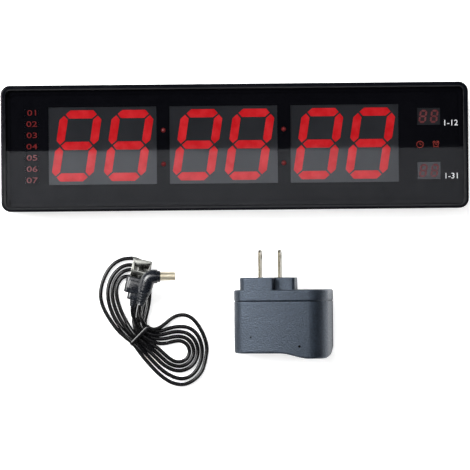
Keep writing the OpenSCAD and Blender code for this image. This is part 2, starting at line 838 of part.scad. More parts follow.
module dc_plug_body() {
    color("#1d2430") at_dc_plug() difference() {
        union() {
            rotate([0, 90, 0]) cylinder(d = dc_grip_d, h = 5.6);
            rotate([0, 90, 0]) translate([0, 0, 5.6 - eps]) cylinder(d = 7.4, h = collar_x - 5.6 + eps);
            sphere(d = dc_grip_d + 0.4);
            rotate(dc_turn) rotate([90, 0, 0]) {
                cylinder(d = dc_grip_d, h = dc_grip_l);
                translate([0, 0, dc_grip_l - eps]) cylinder(d1 = dc_grip_d, d2 = 5, h = dc_relief_l + eps);
            }
        }
        for (k = [0:3]) rotate(dc_turn) rotate([90, 0, 0]) translate([0, 0, dc_grip_l + 1 + 1.8 * k])
            difference() {
                cylinder(d = dc_grip_d + 1, h = 0.7);
                translate([0, 0, -1]) cylinder(d = 7.2 - k * 0.8, h = 3);
            }
        rotate([0, 90, 0]) translate([0, 0, 4]) cylinder(d = barrel_d - 0.3, h = 5);
    }
}

module dc_plug_barrel() {
    color("#c6b48a") at_dc_plug() rotate([0, 90, 0]) difference() {
        union() {
            translate([0, 0, 4]) cylinder(d = barrel_d - 0.3, h = collar_x - 4 + eps);
            translate([0, 0, collar_x]) cylinder(d = barrel_d, h = barrel_l);
        }
        translate([0, 0, 5]) cylinder(d = barrel_d - 0.8, h = collar_x + barrel_l);
    }
}

module dc_plug_insulator() {
    color("#1a1a1a") at_dc_plug() rotate([0, 90, 0]) difference() {
        translate([0, 0, 5]) cylinder(d = barrel_d - 0.8, h = collar_x - 5.2 + barrel_l);
        translate([0, 0, collar_x]) cylinder(d = 2.1, h = barrel_l);
    }
}

// Origin at the mouth of the plug, with the plug along -Y
module at_usb_plug() {
    translate([usb_at[0], usb_at[1], usb_z]) rotate(usb_turn) children();
}

module usb_plug_shell() {
    color("#b9bcc0") at_usb_plug() difference() {
        translate([-usb_shell_w / 2, -usb_shell_l - 4, -usb_shell_h / 2])
            cube([usb_shell_w, usb_shell_l + 4, usb_shell_h]);
        translate([-usb_shell_w / 2 + 0.35, -usb_shell_l - 3, -usb_shell_h / 2 + 0.35])
            cube([usb_shell_w - 0.7, usb_shell_l + 4, usb_shell_h - 0.7]);
        for (x = [-2.9, 2.9]) translate([x, -6.4, 0]) block(2.4, 2.2, -3, 3);
    }
}

module usb_plug_tongue() {
    color("#e9e9e6") at_usb_plug()
        translate([-usb_shell_w / 2 + 0.35, -usb_shell_l - 3, -usb_shell_h / 2 + 0.35])
            cube([usb_shell_w - 0.7, usb_shell_l + 2, 1.6]);
}

module usb_plug_body() {
    w = usb_grip[0];
    t = usb_grip[1];
    l = usb_grip[2];
    color("#1d2430") at_usb_plug() difference() {
        union() {
            translate([0, -usb_shell_l, 0]) rotate([90, 0, 0]) linear_extrude(l - 4) rounded_rect(w, t, 2);
            translate([0, -usb_shell_l - l + 4 + eps, 0]) rotate([90, 0, 0])
                linear_extrude(4) rounded_rect(w * 0.62, t * 0.8, 2);
            translate([0, -usb_shell_l - l + eps, 0]) rotate([90, 0, 0]) cylinder(d1 = 5, d2 = 3.8, h = relief_l + eps);
        }
        translate([-usb_shell_w / 2, -usb_shell_l - 4, -usb_shell_h / 2])
            cube([usb_shell_w, 5, usb_shell_h]);
    }
}

// ---------------------------------------------------------------- nodes

front_bezel();
front_panel();
panel_tape();
panel_mask();
rear_cover();
main_board();
large_module(0);  // hour_module
large_segments(0);  // hour_segments
large_module(1);  // minute_module
large_segments(1);  // minute_segments
large_module(2);  // second_module
large_segments(2);  // second_segments
colon_lamps();
small_module(0);  // month_module
small_segments(0);  // month_segments
small_module(1);  // date_module
small_segments(1);  // date_segments
light_guides();
indicator_leds();
dc_jack();
dc_jack_contacts();
tact_switches();
push_button(0);  // mode_button
push_button(1);  // up_button
push_button(2);  // down_button
push_button(3);  // bell_button
switch_plunger(0);  // mode_plunger
switch_plunger(1);  // up_plunger
switch_plunger(2);  // down_plunger
switch_plunger(3);  // bell_plunger
battery_holder();
battery_contacts();
coin_cell();
battery_door();
buzzer();
clock_chip();
driver_chips();
crystal();
capacitors();
board_screws();
case_screws();
adapter_rear_shell();
adapter_front_cap();
adapter_blades();
adapter_board();
adapter_transformer();
adapter_capacitors();
usb_socket_shell();
usb_socket_tongue();
lead_hank();
lead_tie();
lead_dc_tail();
lead_usb_tail();
dc_plug_body();
dc_plug_barrel();
dc_plug_insulator();
usb_plug_body();
usb_plug_shell();
usb_plug_tongue();
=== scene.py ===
# LED round timer with its mains adapter and its lead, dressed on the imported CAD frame.
from math import acos, atan2, cos, pi, radians, sin, sqrt, tan

import bmesh
import bpy
from mathutils import Matrix, Vector


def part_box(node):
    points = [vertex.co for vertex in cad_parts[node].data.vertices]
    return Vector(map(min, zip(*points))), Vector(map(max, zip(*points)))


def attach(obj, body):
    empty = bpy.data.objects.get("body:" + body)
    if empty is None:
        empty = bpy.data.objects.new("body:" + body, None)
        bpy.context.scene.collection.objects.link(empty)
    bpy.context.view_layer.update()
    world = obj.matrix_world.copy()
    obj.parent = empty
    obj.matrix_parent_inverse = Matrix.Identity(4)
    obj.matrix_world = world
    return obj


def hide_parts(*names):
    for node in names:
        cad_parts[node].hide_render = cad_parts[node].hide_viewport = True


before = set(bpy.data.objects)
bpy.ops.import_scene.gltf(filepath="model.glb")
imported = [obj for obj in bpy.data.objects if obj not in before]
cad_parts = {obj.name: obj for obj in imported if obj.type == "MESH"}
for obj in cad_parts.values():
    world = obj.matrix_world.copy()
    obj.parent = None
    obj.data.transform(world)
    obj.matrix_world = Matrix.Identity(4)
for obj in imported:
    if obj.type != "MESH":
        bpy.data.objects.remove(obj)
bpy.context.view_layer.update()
mm = 0.001
toMetres = Matrix.Diagonal((mm, mm, mm, 1))
quarter = [k * pi / 8 for k in range(5)]   # the angles through a rounded edge


def addObject(name, data):
    item = bpy.data.objects.new(name, data)
    bpy.context.collection.objects.link(item)
    return item


# Camera, straight over the table
viewSettings = {
    "aim": (-0.3, -55.8),    # middle of the view on the table, mm
    "span": 297.3,           # what the view takes in across, mm
    "distance": 2200,        # camera over the smoked panel, mm
    "roll": -0.55,           # turn of the camera, degrees
    "sensor": 36,            # mm
    "clip": (0.1, 20),       # m
}


def makeCamera(s):
    data = bpy.data.cameras.new("shopCamera")
    data.sensor_width = s["sensor"]
    data.lens = data.sensor_width * s["distance"] / s["span"]
    data.clip_start, data.clip_end = s["clip"]
    camera = addObject("shopCamera", data)
    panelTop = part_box("front_panel")[1].z
    camera.location = (s["aim"][0] * mm, s["aim"][1] * mm, panelTop + s["distance"] * mm)
    camera.rotation_euler = (0, 0, radians(s["roll"]))
    bpy.context.scene.camera = camera


makeCamera(viewSettings)
print("camera set")


# Shader helpers: each finish is one Principled shader fed by noise in Object coordinates
def linear(r, g, b):
    return tuple((v / 255 / 12.92 if v <= 10 else ((v / 255 + 0.055) / 1.055) ** 2.4)
                 for v in (r, g, b)) + (1.0,)


def newMaterial(name):
    material = bpy.data.materials.new(name)
    material.use_nodes = True
    return material, material.node_tree.nodes, material.node_tree.links


def setInputs(node, values):
    for label, value in values.items():
        node.inputs[label].default_value = value


def addNoise(nodes, links, scale, detail, stretch=(1, 1, 1)):
    where = nodes.new("ShaderNodeTexCoord")
    turn = nodes.new("ShaderNodeMapping")
    setInputs(turn, {"Scale": stretch})
    noise = nodes.new("ShaderNodeTexNoise")
    setInputs(noise, {"Scale": scale, "Detail": detail})
    links.new(where.outputs["Object"], turn.inputs["Vector"])
    links.new(turn.outputs["Vector"], noise.inputs["Vector"])
    return noise.outputs["Fac"]


def spread(nodes, links, value, low, high, start=0.35, stop=0.65):
    ramp = nodes.new("ShaderNodeMapRange")
    setInputs(ramp, {"From Min": start, "From Max": stop, "To Min": low, "To Max": high})
    links.new(value, ramp.inputs["Value"])
    return ramp.outputs["Result"]


def addBump(nodes, links, height, strength, distance):
    bump = nodes.new("ShaderNodeBump")
    setInputs(bump, {"Strength": strength, "Distance": distance * mm})
    links.new(height, bump.inputs["Height"])
    return bump.outputs["Normal"]


# s: colour, tone and shine are sRGB 0-255; rough is (low, high); scales are per metre; bump is in mm
def makeFinish(name, s):
    material, nodes, links = newMaterial(name)
    skin = nodes["Principled BSDF"]
    stretch = s.get("stretch", (1, 1, 1))
    mix = nodes.new("ShaderNodeMix")
    mix.data_type = "RGBA"
    setInputs(mix, {6: linear(*s["colour"]), 7: linear(*s["tone"])})
    patches = addNoise(nodes, links, s["toneScale"], 3, stretch)
    links.new(spread(nodes, links, patches, 0, 1), mix.inputs[0])
    links.new(mix.outputs[2], skin.inputs["Base Color"])
    grain = addNoise(nodes, links, s["grainScale"], s.get("detail", 2), stretch)
    links.new(spread(nodes, links, grain, *s["rough"]), skin.inputs["Roughness"])
    links.new(addBump(nodes, links, grain, s.get("strength", 0.6), s["bump"]), skin.inputs["Normal"])
    setInputs(skin, {
        "Metallic": s.get("metal", 0), "Specular IOR Level": s.get("specular", 0.5),
        "Specular Tint": linear(*s.get("shine", (255, 255, 255))),
        "Coat Weight": s.get("coat", 0), "Coat Roughness": 0.05})
    if s.get("glow"):
        links.new(mix.outputs[2], skin.inputs["Emission Color"])
        setInputs(skin, {"Emission Strength": s["glow"]})
    return material


# Mesh helpers, all in millimetres until the last step
def finishMesh(name, mesh, smooth=35):
    sheet = bmesh.new()
    sheet.from_mesh(mesh)
    bmesh.ops.remove_doubles(sheet, verts=sheet.verts, dist=1e-7)
    bmesh.ops.recalc_face_normals(sheet, faces=sheet.faces)
    for edge in sheet.edges:
        edge.smooth = len(edge.link_faces) != 2 or edge.calc_face_angle(0) < radians(smooth)
    for face in sheet.faces:
        face.smooth = True
    sheet.to_mesh(mesh)
    sheet.free()
    return addObject(name, mesh)


def putMesh(name, points, faces, material, place=None, smooth=35):
    mesh = bpy.data.meshes.new(name)
    spot = place or Matrix.Identity(4)
    mesh.from_pydata([tuple((spot @ Vector(p)) * mm) for p in points], [], faces)
    mesh.materials.append(material)
    return finishMesh(name, mesh, smooth)


# Rings of equal length, joined side by side; a closed run has no ends, an open one gets flat caps
def loft(name, rings, material, place=None, smooth=35, closed=False, caps=True):
    count = len(rings[0])
    points = [p for ring in rings for p in ring]
    faces = []
    for i in range(len(rings) if closed else len(rings) - 1):
        j = (i + 1) % len(rings)
        for k in range(count):
            n = (k + 1) % count
            faces.append((i * count + k, i * count + n, j * count + n, j * count + k))
    if not closed and caps:
        faces.append(tuple(reversed(range(count))))
        faces.append(tuple((len(rings) - 1) * count + k for k in range(count)))
    return putMesh(name, points, faces, material, place, smooth)


# The mesh that a piece's modifiers give; the piece and its helpers are removed
def bakeMesh(piece, *helpers):
    mesh = bpy.data.meshes.new_from_object(piece.evaluated_get(bpy.context.evaluated_depsgraph_get()))
    for item in (piece, *helpers):
        bpy.data.objects.remove(item)
    return mesh


def circle(x, y, r, count=28):
    return [(x + r * cos(2 * pi * k / count), y + r * sin(2 * pi * k / count)) for k in range(count)]


def roundedBox(w, h, r, steps=6):
    r = max(min(r, w / 2, h / 2), 0.01)
    outline = []
    for k, (sx, sy) in enumerate([(1, 1), (-1, 1), (-1, -1), (1, -1)]):
        for i in range(steps + 1):
            a = pi / 2 * (k + i / steps)
            outline.append((sx * (w / 2 - r) + r * cos(a), sy * (h / 2 - r) + r * sin(a)))
    return outline


# Outline through points (x, y, corner radius), as the CAD source rounds it
def roundedOutline(points, steps=8):
    outline = []
    for i, (x, y, r) in enumerate(points):
        a, b, c = Vector(points[i - 1][:2]), Vector((x, y)), Vector(points[(i + 1) % len(points)][:2])
        u, v = (a - b).normalized(), (c - b).normalized()
        half = acos(max(-1, min(1, u.dot(v)))) / 2
        middle = b + (u + v).normalized() * r / sin(half)
        p, q = b + u * r / tan(half) - middle, b + v * r / tan(half) - middle
        start = atan2(p.y, p.x)
        turn = (atan2(q.y, q.x) - start + 3 * pi) % (2 * pi) - pi
        for k in range(steps + 1):
            a = start + turn * k / steps
            outline.append((middle.x + r * cos(a), middle.y + r * sin(a)))
    return outline


def resample(outline, count):
    loop = [Vector(p) for p in outline] + [Vector(outline[0])]
    lengths = [0]
    for a, b in zip(loop, loop[1:]):
        lengths.append(lengths[-1] + (b - a).length)
    result, k = [], 0
    for i in range(count):
        want = lengths[-1] * i / count
        while lengths[k + 1] < want:
            k += 1
        run = lengths[k + 1] - lengths[k]
        result.append(loop[k].lerp(loop[k + 1], (want - lengths[k]) / run if run else 0))
    return result


def pulledIn(outline, by):
    moved = []
    for i, p in enumerate(outline):
        along = (Vector(outline[(i + 1) % len(outline)]) - Vector(outline[i - 1])).normalized()
        moved.append(Vector(p) + Vector((-along.y, along.x)) * by)
    return moved


# A frame of rounded-rectangle rings: profile is a list of (inset, height), least the smallest corner
def frameRing(name, w, h, r, profile, material, place=None, steps=8, least=0.01):
    rings = [[(x, y, z) for x, y in roundedBox(w - 2 * i, h - 2 * i, max(r - i, least), steps)]
             for i, z in profile]
    return loft(name, rings, material, place, closed=True)


# A CAD node's own shape, merged, with a small round on its sharp edges
def softenedCopy(name, node, material, width, angle=35, segments=2):
    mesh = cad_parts[node].data.copy()
    mesh.materials.clear()
    mesh.materials.append(material)
    shell = bmesh.new()
    shell.from_mesh(mesh)
    for face in shell.faces:
        face.material_index = 0
    bmesh.ops.remove_doubles(shell, verts=shell.verts, dist=2e-6)
    bmesh.ops.dissolve_limit(shell, angle_limit=radians(1), verts=shell.verts, edges=shell.edges)
    shell.to_mesh(mesh)
    shell.free()
    piece = addObject(name, mesh)
    bevel = piece.modifiers.new("edges", "BEVEL")
    bevel.width = width * mm
    bevel.segments = segments
    bevel.limit_method = "ANGLE"
    bevel.angle_limit = radians(angle)
    bevel.use_clamp_overlap = True
    return finishMesh(name, bakeMesh(piece))


def joinPieces(name, pieces):
    sheet = bmesh.new()
    materials = []
    for piece in pieces:
        first = len(sheet.faces)
        sheet.from_mesh(piece.data)
        sheet.faces.ensure_lookup_table()
        for face in sheet.faces[first:]:
            material = piece.data.materials[face.material_index]
            if material not in materials:
                materials.append(material)
            face.material_index = materials.index(material)
    mesh = bpy.data.meshes.new(name)
    sheet.to_mesh(mesh)
    sheet.free()
    for material in materials:
        mesh.materials.append(material)
    for piece in pieces:
        bpy.data.objects.remove(piece)
    return addObject(name, mesh)


def standFor(piece, body, slotName, *nodes):
    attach(piece, body)
    if nodes:
        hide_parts(*nodes)
    return piece


# The lead: one limp cord from the round plug to the flat plug, its centreline in mm
leadSettings = {
    "diameter": 2.5,
    "length": 960,
    "curveSteps": 4,
    "bevelSteps": 5,
}
leadRoute = [
    (-61.0, -99.6, 13.4), (-61.7, -103.7, 11.5), (-61.2, -107.1, 8.5), (-59.7, -110.6, 5.9),
    (-57.0, -113.9, 4.4), (-52.9, -115.5, 3.5), (-48.7, -114.3, 2.4), (-45.0, -111.6, 1.5),
    (-41.4, -108.8, 1.3), (-37.3, -106.9, 1.2), (-32.7, -106.7, 1.3), (-28.6, -108.6, 1.3),
    (-25.4, -111.9, 1.3), (-22.9, -115.8, 1.3), (-20.9, -119.9, 1.3), (-19.5, -124.3, 1.3),
    (-19.0, -128.8, 1.2), (-19.6, -133.4, 1.2), (-20.6, -137.9, 1.2), (-22.1, -142.2, 1.2),
    (-24.8, -145.9, 1.3), (-28.3, -148.8, 1.2), (-32.5, -150.7, 1.3), (-37.1, -151.0, 1.3),
    (-41.5, -149.8, 1.3), (-45.5, -147.6, 1.3), (-49.1, -144.8, 1.3), (-52.4, -141.6, 1.3),
    (-55.5, -138.2, 1.2), (-58.5, -134.7, 1.3), (-61.3, -131.1, 1.5), (-64.0, -127.3, 1.8),
    (-66.9, -123.8, 1.9), (-70.5, -120.9, 1.7), (-74.0, -117.9, 1.4), (-77.0, -114.5, 1.3),
    (-79.7, -110.7, 1.2), (-82.1, -106.9, 1.2), (-84.3, -102.8, 1.3), (-85.9, -98.5, 1.3),
    (-86.6, -94.0, 1.3), (-86.3, -89.4, 1.3), (-85.2, -85.0, 1.3), (-83.4, -80.7, 1.3), (-81.0, -76.8, 1.2),
    (-77.9, -73.5, 1.2), (-73.9, -71.2, 1.2), (-69.5, -70.1, 1.2), (-64.9, -70.3, 1.3), (-60.7, -72.0, 1.3),
    (-57.4, -75.2, 1.3), (-55.6, -79.4, 1.3), (-55.0, -84.0, 1.3), (-55.0, -88.6, 1.3), (-55.2, -93.1, 1.2),
    (-55.6, -97.7, 1.3), (-56.4, -102.2, 1.3), (-57.5, -106.7, 1.5), (-58.3, -111.2, 1.7),
    (-56.5, -115.3, 1.7), (-52.4, -117.0, 1.4), (-47.8, -116.5, 1.2), (-43.4, -115.2, 1.3),
    (-39.0, -114.2, 1.2), (-34.4, -114.0, 1.3), (-29.9, -115.1, 1.3), (-26.3, -117.8, 1.3),
    (-23.8, -121.6, 1.3), (-22.4, -126.0, 1.3), (-22.0, -130.5, 1.3), (-22.7, -135.1, 1.2),
    (-24.3, -139.4, 1.2), (-26.8, -143.2, 1.2), (-30.3, -146.1, 1.3), (-34.7, -147.3, 1.3),
    (-39.3, -146.6, 1.3), (-43.4, -144.7, 1.3), (-47.2, -142.1, 1.3), (-50.6, -139.0, 1.3),
    (-53.8, -135.7, 1.3), (-56.9, -132.3, 1.5), (-59.9, -129.0, 2.6), (-62.9, -125.7, 3.6),
    (-66.1, -122.4, 3.9), (-69.4, -119.3, 3.2), (-72.5, -116.1, 2.0), (-75.2, -112.5, 1.3),
    (-77.6, -108.5, 1.2), (-79.5, -104.4, 1.2), (-81.0, -100.0, 1.3), (-81.8, -95.5, 1.3),
    (-81.9, -90.9, 1.3), (-81.1, -86.4, 1.3), (-79.3, -82.2, 1.3), (-76.6, -78.5, 1.3), (-73.0, -75.6, 1.2),
    (-68.7, -74.3, 1.3), (-64.2, -74.9, 1.3), (-60.5, -77.6, 1.3), (-58.3, -81.6, 1.3), (-57.7, -86.1, 1.3),
    (-57.8, -90.7, 1.2), (-58.1, -95.3, 1.2), (-58.7, -99.9, 1.3), (-59.6, -104.4, 1.4),
    (-60.5, -108.8, 2.3), (-60.3, -113.2, 3.5), (-57.9, -117.0, 3.9), (-53.9, -118.9, 3.2),
    (-49.5, -119.3, 2.0), (-45.0, -118.5, 1.3), (-40.5, -117.5, 1.2), (-36.0, -117.3, 1.3),
    (-31.5, -118.4, 1.3), (-27.9, -121.2, 1.3), (-25.6, -125.1, 1.3), (-24.7, -129.6, 1.3),
    (-25.5, -134.1, 1.3), (-27.7, -138.1, 1.3), (-31.3, -140.9, 1.3), (-35.7, -142.2, 1.3),
    (-40.2, -141.8, 1.3), (-44.4, -139.9, 1.3), (-48.1, -137.2, 1.3), (-51.4, -134.0, 1.3),
    (-54.7, -130.8, 1.2), (-58.1, -127.7, 1.3), (-61.4, -124.6, 1.8), (-64.7, -121.4, 1.9),
    (-67.9, -118.0, 1.7), (-70.7, -114.5, 1.3), (-73.3, -110.6, 1.2), (-75.4, -106.6, 1.2),
    (-77.2, -102.3, 1.2), (-78.5, -97.9, 1.3), (-79.1, -93.4, 1.3), (-78.8, -88.8, 1.3),
    (-77.4, -84.5, 1.3), (-74.7, -80.7, 1.3), (-71.0, -78.1, 1.3), (-66.5, -77.4, 1.3), (-62.7, -79.7, 1.3),
    (-60.8, -83.9, 1.3), (-60.4, -88.4, 1.3), (-60.6, -93.0, 1.3), (-61.1, -97.6, 1.3),
    (-61.9, -102.1, 1.3), (-62.7, -106.6, 1.3), (-62.8, -111.2, 1.6), (-61.2, -115.5, 1.9),
    (-58.1, -118.8, 1.9), (-54.0, -120.9, 1.5), (-49.6, -121.8, 1.3), (-45.0, -121.5, 1.2),
    (-40.5, -120.6, 1.2), (-35.9, -120.4, 1.3), (-31.6, -121.9, 1.3), (-28.6, -125.3, 1.3),
    (-27.4, -129.7, 1.3), (-28.4, -134.1, 1.3), (-31.3, -137.6, 1.3), (-35.5, -139.3, 1.3),
    (-40.0, -138.9, 1.3), (-44.1, -136.9, 1.3), (-47.6, -133.9, 1.2), (-50.9, -130.8, 1.3),
    (-54.4, -127.8, 2.0), (-58.0, -125.1, 3.1), (-61.5, -122.3, 3.8), (-64.7, -119.0, 3.7),
    (-67.3, -115.4, 2.7), (-69.7, -111.6, 1.6), (-71.8, -107.6, 1.3), (-73.7, -103.3, 1.2),
    (-75.2, -99.0, 1.3), (-76.2, -94.5, 1.3), (-76.4, -90.0, 1.3), (-75.1, -85.6, 1.3), (-72.1, -82.2, 1.3),
    (-67.7, -81.7, 1.3), (-64.2, -84.6, 1.3), (-63.2, -89.0, 1.3), (-63.3, -93.6, 1.3), (-64.0, -98.2, 1.3),
    (-64.9, -102.7, 1.3), (-65.5, -107.2, 1.3), (-65.4, -111.8, 1.5), (-64.2, -116.2, 1.8),
    (-61.6, -119.9, 1.9), (-58.0, -122.7, 1.6), (-54.1, -125.2, 1.3), (-50.3, -127.8, 1.3),
    (-46.9, -130.8, 1.3), (-43.4, -133.9, 1.3), (-39.5, -136.2, 1.3), (-35.0, -136.3, 1.3),
    (-31.3, -133.7, 1.3), (-30.2, -129.3, 1.3), (-32.1, -125.2, 1.3), (-36.1, -123.2, 1.3),
    (-40.6, -123.6, 1.3), (-45.1, -124.6, 1.3), (-49.7, -124.6, 1.7), (-53.9, -123.1, 2.8),
    (-57.8, -121.0, 3.6), (-61.2, -117.9, 4.1), (-63.3, -113.9, 4.4), (-64.8, -109.6, 4.9),
    (-66.2, -105.3, 5.7), (-66.2, -100.8, 6.3),
]

cordBlack = makeFinish("cordBlack", {
    "colour": (9, 9, 10), "tone": (15, 15, 17), "toneScale": 60, "rough": (0.18, 0.28),
    "grainScale": 900, "bump": 0.05, "strength": 0.35, "specular": 0.45})


def makeLead(s, route):
    curve = bpy.data.curves.new("leadCord", "CURVE")
    curve.dimensions = "3D"
    curve.resolution_u = s["curveSteps"]
    curve.bevel_depth = s["diameter"] / 2 * mm
    curve.bevel_resolution = s["bevelSteps"]
    curve.use_fill_caps = True
    line = curve.splines.new("BEZIER")
    line.bezier_points.add(len(route) - 1)
    track = [Vector((x, y, max(z, s["diameter"] / 2))) * mm for x, y, z in route]
    for i, knot in enumerate(line.bezier_points):   # handles that run smoothly through every point
        ahead, behind = track[min(i + 1, len(track) - 1)], track[max(i - 1, 0)]
        knot.co = track[i]
        knot.handle_right = track[i] + (ahead - behind) / 6
        knot.handle_left = track[i] - (ahead - behind) / 6
    curve.materials.append(cordBlack)
    return addObject("leadCord", curve)


lead = makeLead(leadSettings, leadRoute)
standFor(lead, "usb_lead", "cord_black", "lead_hank", "lead_dc_tail", "lead_usb_tail")
print("lead laid")

# The tie round the bundle; edges are (across, along) the band
tieSettings = {
    "at": (-61.5, -119.3),
    "turn": 45,
    "across": 17.4,
    "height": 6.0,
    "cornerRadius": 2.2,
    "bandWidth": 2.3,
    "thickness": 0.42,
    "innerEdge": (0.1, 0.15),
    "outerEdge": (0.08, 0.12),
}

tieBlack = makeFinish("tieBlack", {
    "colour": (11, 11, 12), "tone": (20, 20, 22), "toneScale": 90, "rough": (0.14, 0.26),
    "grainScale": 500, "bump": 0.04, "strength": 0.4, "coat": 0.4})


def makeTie(s):
    half, t = s["bandWidth"] / 2, s["thickness"]
    (inX, inZ), (outX, outZ) = s["innerEdge"], s["outerEdge"]
    profile = [(inX, -half), (0, -half + inZ), (0, half - inZ), (inX, half),
               (t - outX, half), (t, half - outZ), (t, -half + outZ), (t - outX, -half)]
    upright = Matrix.Translation((*s["at"], s["height"] / 2)) @ Matrix.Rotation(
        radians(s["turn"]), 4, "Z") @ Matrix.Rotation(pi / 2, 4, "X")
    return frameRing("leadTieBand", s["across"], s["height"], s["cornerRadius"], profile, tieBlack, upright)


tie = standFor(makeTie(tieSettings), "usb_lead", "cord_black", "lead_tie")

# Plastics and metals for the pieces that keep their CAD shape
finishes = {
    "bezel_black": (["front_bezel"], {
        "colour": (5, 6, 10), "tone": (8, 9, 14), "toneScale": 25, "rough": (0.16, 0.26),
        "grainScale": 320, "bump": 0.01, "strength": 0.25, "specular": 0.2}),
    "black_tape": (["panel_tape", "panel_mask"], {
        "colour": (16, 16, 20), "tone": (19, 19, 23), "toneScale": 30, "rough": (0.02, 0.035),
        "grainScale": 300, "bump": 0.001, "strength": 0.05, "specular": 0.3}),
    "cover_black": (["rear_cover", "battery_door"], {
        "colour": (14, 14, 15), "tone": (21, 21, 22), "toneScale": 40, "rough": (0.42, 0.58),
        "grainScale": 1500, "bump": 0.05, "strength": 0.7, "detail": 4}),
    "board_green": (["main_board"], {
        "colour": (14, 62, 36), "tone": (22, 84, 48), "toneScale": 140, "rough": (0.3, 0.45),
        "grainScale": 600, "bump": 0.03}),
    "module_grey": (["hour_module", "minute_module", "second_module", "month_module", "date_module"], {
        "colour": (60, 61, 63), "tone": (67, 68, 70), "toneScale": 35, "rough": (0.04, 0.07),
        "grainScale": 420, "bump": 0.001, "strength": 0.05, "specular": 1.0}),
    "lit_red": (["hour_segments", "minute_segments", "second_segments"], {
        "colour": (204, 28, 33), "tone": (222, 44, 48), "toneScale": 160, "rough": (0.04, 0.08),
        "grainScale": 420, "bump": 0.001, "strength": 0.05, "glow": 0.7, "specular": 0.8}),
    "lamp_red": (["colon_lamps"], {
        "colour": (170, 58, 60), "tone": (184, 70, 70), "toneScale": 300, "rough": (0.04, 0.08),
        "grainScale": 500, "bump": 0.001, "strength": 0.05, "glow": 0.16, "specular": 1.0}),
    # month and date segments are off; their faint glow is painted light
    "unlit_red": (["month_segments", "date_segments"], {
        "colour": (134, 58, 60), "tone": (154, 76, 76), "toneScale": 200, "rough": (0.25, 0.4),
        "grainScale": 500, "bump": 0.01, "strength": 0.3, "glow": 0.07}),
    "white_plastic": (["light_guides", "indicator_leds", "usb_socket_tongue", "usb_plug_tongue"], {
        "colour": (226, 226, 220), "tone": (238, 238, 234), "toneScale": 90, "rough": (0.36, 0.5),
        "grainScale": 900, "bump": 0.02}),
    "black_parts": (["dc_jack", "tact_switches", "battery_holder", "buzzer", "clock_chip", "driver_chips",
                     "dc_plug_insulator"], {
        "colour": (16, 16, 17), "tone": (26, 26, 28), "toneScale": 120, "rough": (0.38, 0.55),
        "grainScale": 1200, "bump": 0.03}),
    "barrel_nickel": (["dc_plug_barrel"], {
        "colour": (222, 212, 188), "tone": (234, 226, 206), "toneScale": 300, "rough": (0.34, 0.46),
        "grainScale": 900, "bump": 0.01, "strength": 0.3, "metal": 0.75}),
    "contact_brass": (["dc_jack_contacts", "battery_contacts"], {
        "colour": (186, 166, 122), "tone": (206, 190, 150), "toneScale": 300, "rough": (0.2, 0.34),
        "grainScale": 900, "bump": 0.01, "strength": 0.3, "metal": 1, "stretch": (1, 4, 4)}),
    "button_grey": (["mode_button", "up_button", "down_button", "bell_button"], {
        "colour": (84, 86, 90), "tone": (98, 100, 104), "toneScale": 150, "rough": (0.34, 0.46),
        "grainScale": 1300, "bump": 0.03}),
    "plunger_ivory": (["mode_plunger", "up_plunger", "down_plunger", "bell_plunger"], {
        "colour": (208, 202, 182), "tone": (220, 214, 196), "toneScale": 200, "rough": (0.4, 0.5),
        "grainScale": 900, "bump": 0.02}),
    # a darker copy of the steel: painted shade on the flat plug's shell
    "plug_steel_shaded": (["usb_plug_shell"], {
        "colour": (116, 117, 114), "tone": (138, 138, 134), "toneScale": 90, "rough": (0.13, 0.2),
        "grainScale": 500, "bump": 0.001, "strength": 0.1, "metal": 1, "stretch": (1, 3, 1)}),
    "steel": (["coin_cell", "crystal", "board_screws", "case_screws", "usb_socket_shell"], {
        "colour": (158, 157, 150), "tone": (176, 176, 172), "toneScale": 90, "rough": (0.13, 0.2),
        "grainScale": 500, "bump": 0.001, "strength": 0.1, "metal": 1, "stretch": (1, 3, 1)}),
    "capacitor_blue": (["capacitors", "adapter_capacitors"], {
        "colour": (30, 42, 84), "tone": (40, 54, 100), "toneScale": 150, "rough": (0.25, 0.4),
        "grainScale": 700, "bump": 0.02}),
    "adapter_slate": (["adapter_rear_shell", "adapter_front_cap"], {
        "colour": (9, 12, 16), "tone": (32, 38, 47), "toneScale": 850, "rough": (0.36, 0.5),
        "grainScale": 1100, "bump": 0.26, "strength": 0.95, "detail": 3, "specular": 1.0,
        "shine": (214, 232, 255)}),
    "blade_nickel": (["adapter_blades"], {
        "colour": (104, 98, 82), "tone": (140, 135, 120), "toneScale": 130, "rough": (0.24, 0.38),
        "grainScale": 900, "bump": 0.015, "strength": 0.35, "metal": 1, "stretch": (4, 1, 4)}),
    "board_tan": (["adapter_board"], {
        "colour": (160, 134, 80), "tone": (176, 150, 96), "toneScale": 160, "rough": (0.5, 0.65),
        "grainScale": 900, "bump": 0.03}),
    "transformer_tape": (["adapter_transformer"], {
        "colour": (198, 172, 60), "tone": (214, 190, 84), "toneScale": 140, "rough": (0.3, 0.45),
        "grainScale": 700, "bump": 0.02}),
    # near-black and matte: painted shade of a pit, put on a raised mark
    "pit_painted_shade": ([], {
        "colour": (3, 3, 4), "tone": (6, 6, 8), "toneScale": 300, "rough": (0.7, 0.85),
        "grainScale": 900, "bump": 0.01, "specular": 0.05}),
    "plug_black": (["dc_plug_body", "usb_plug_body"], {
        "colour": (17, 20, 26), "tone": (24, 28, 35), "toneScale": 110, "rough": (0.2, 0.34),
        "grainScale": 1100, "bump": 0.012, "strength": 0.5, "specular": 0.8}),
}
skins = {}
for slotName, (nodeNames, values) in finishes.items():
    skins[slotName] = makeFinish(slotName, values)
    for nodeName in nodeNames:
        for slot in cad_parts[nodeName].material_slots:
            slot.material = skins[slotName]
for nodeName in ("lead_hank", "lead_dc_tail", "lead_usb_tail", "lead_tie"):
    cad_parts[nodeName].material_slots[0].material = cordBlack
print("CAD pieces finished:", sum(len(f[0]) for f in finishes.values()))

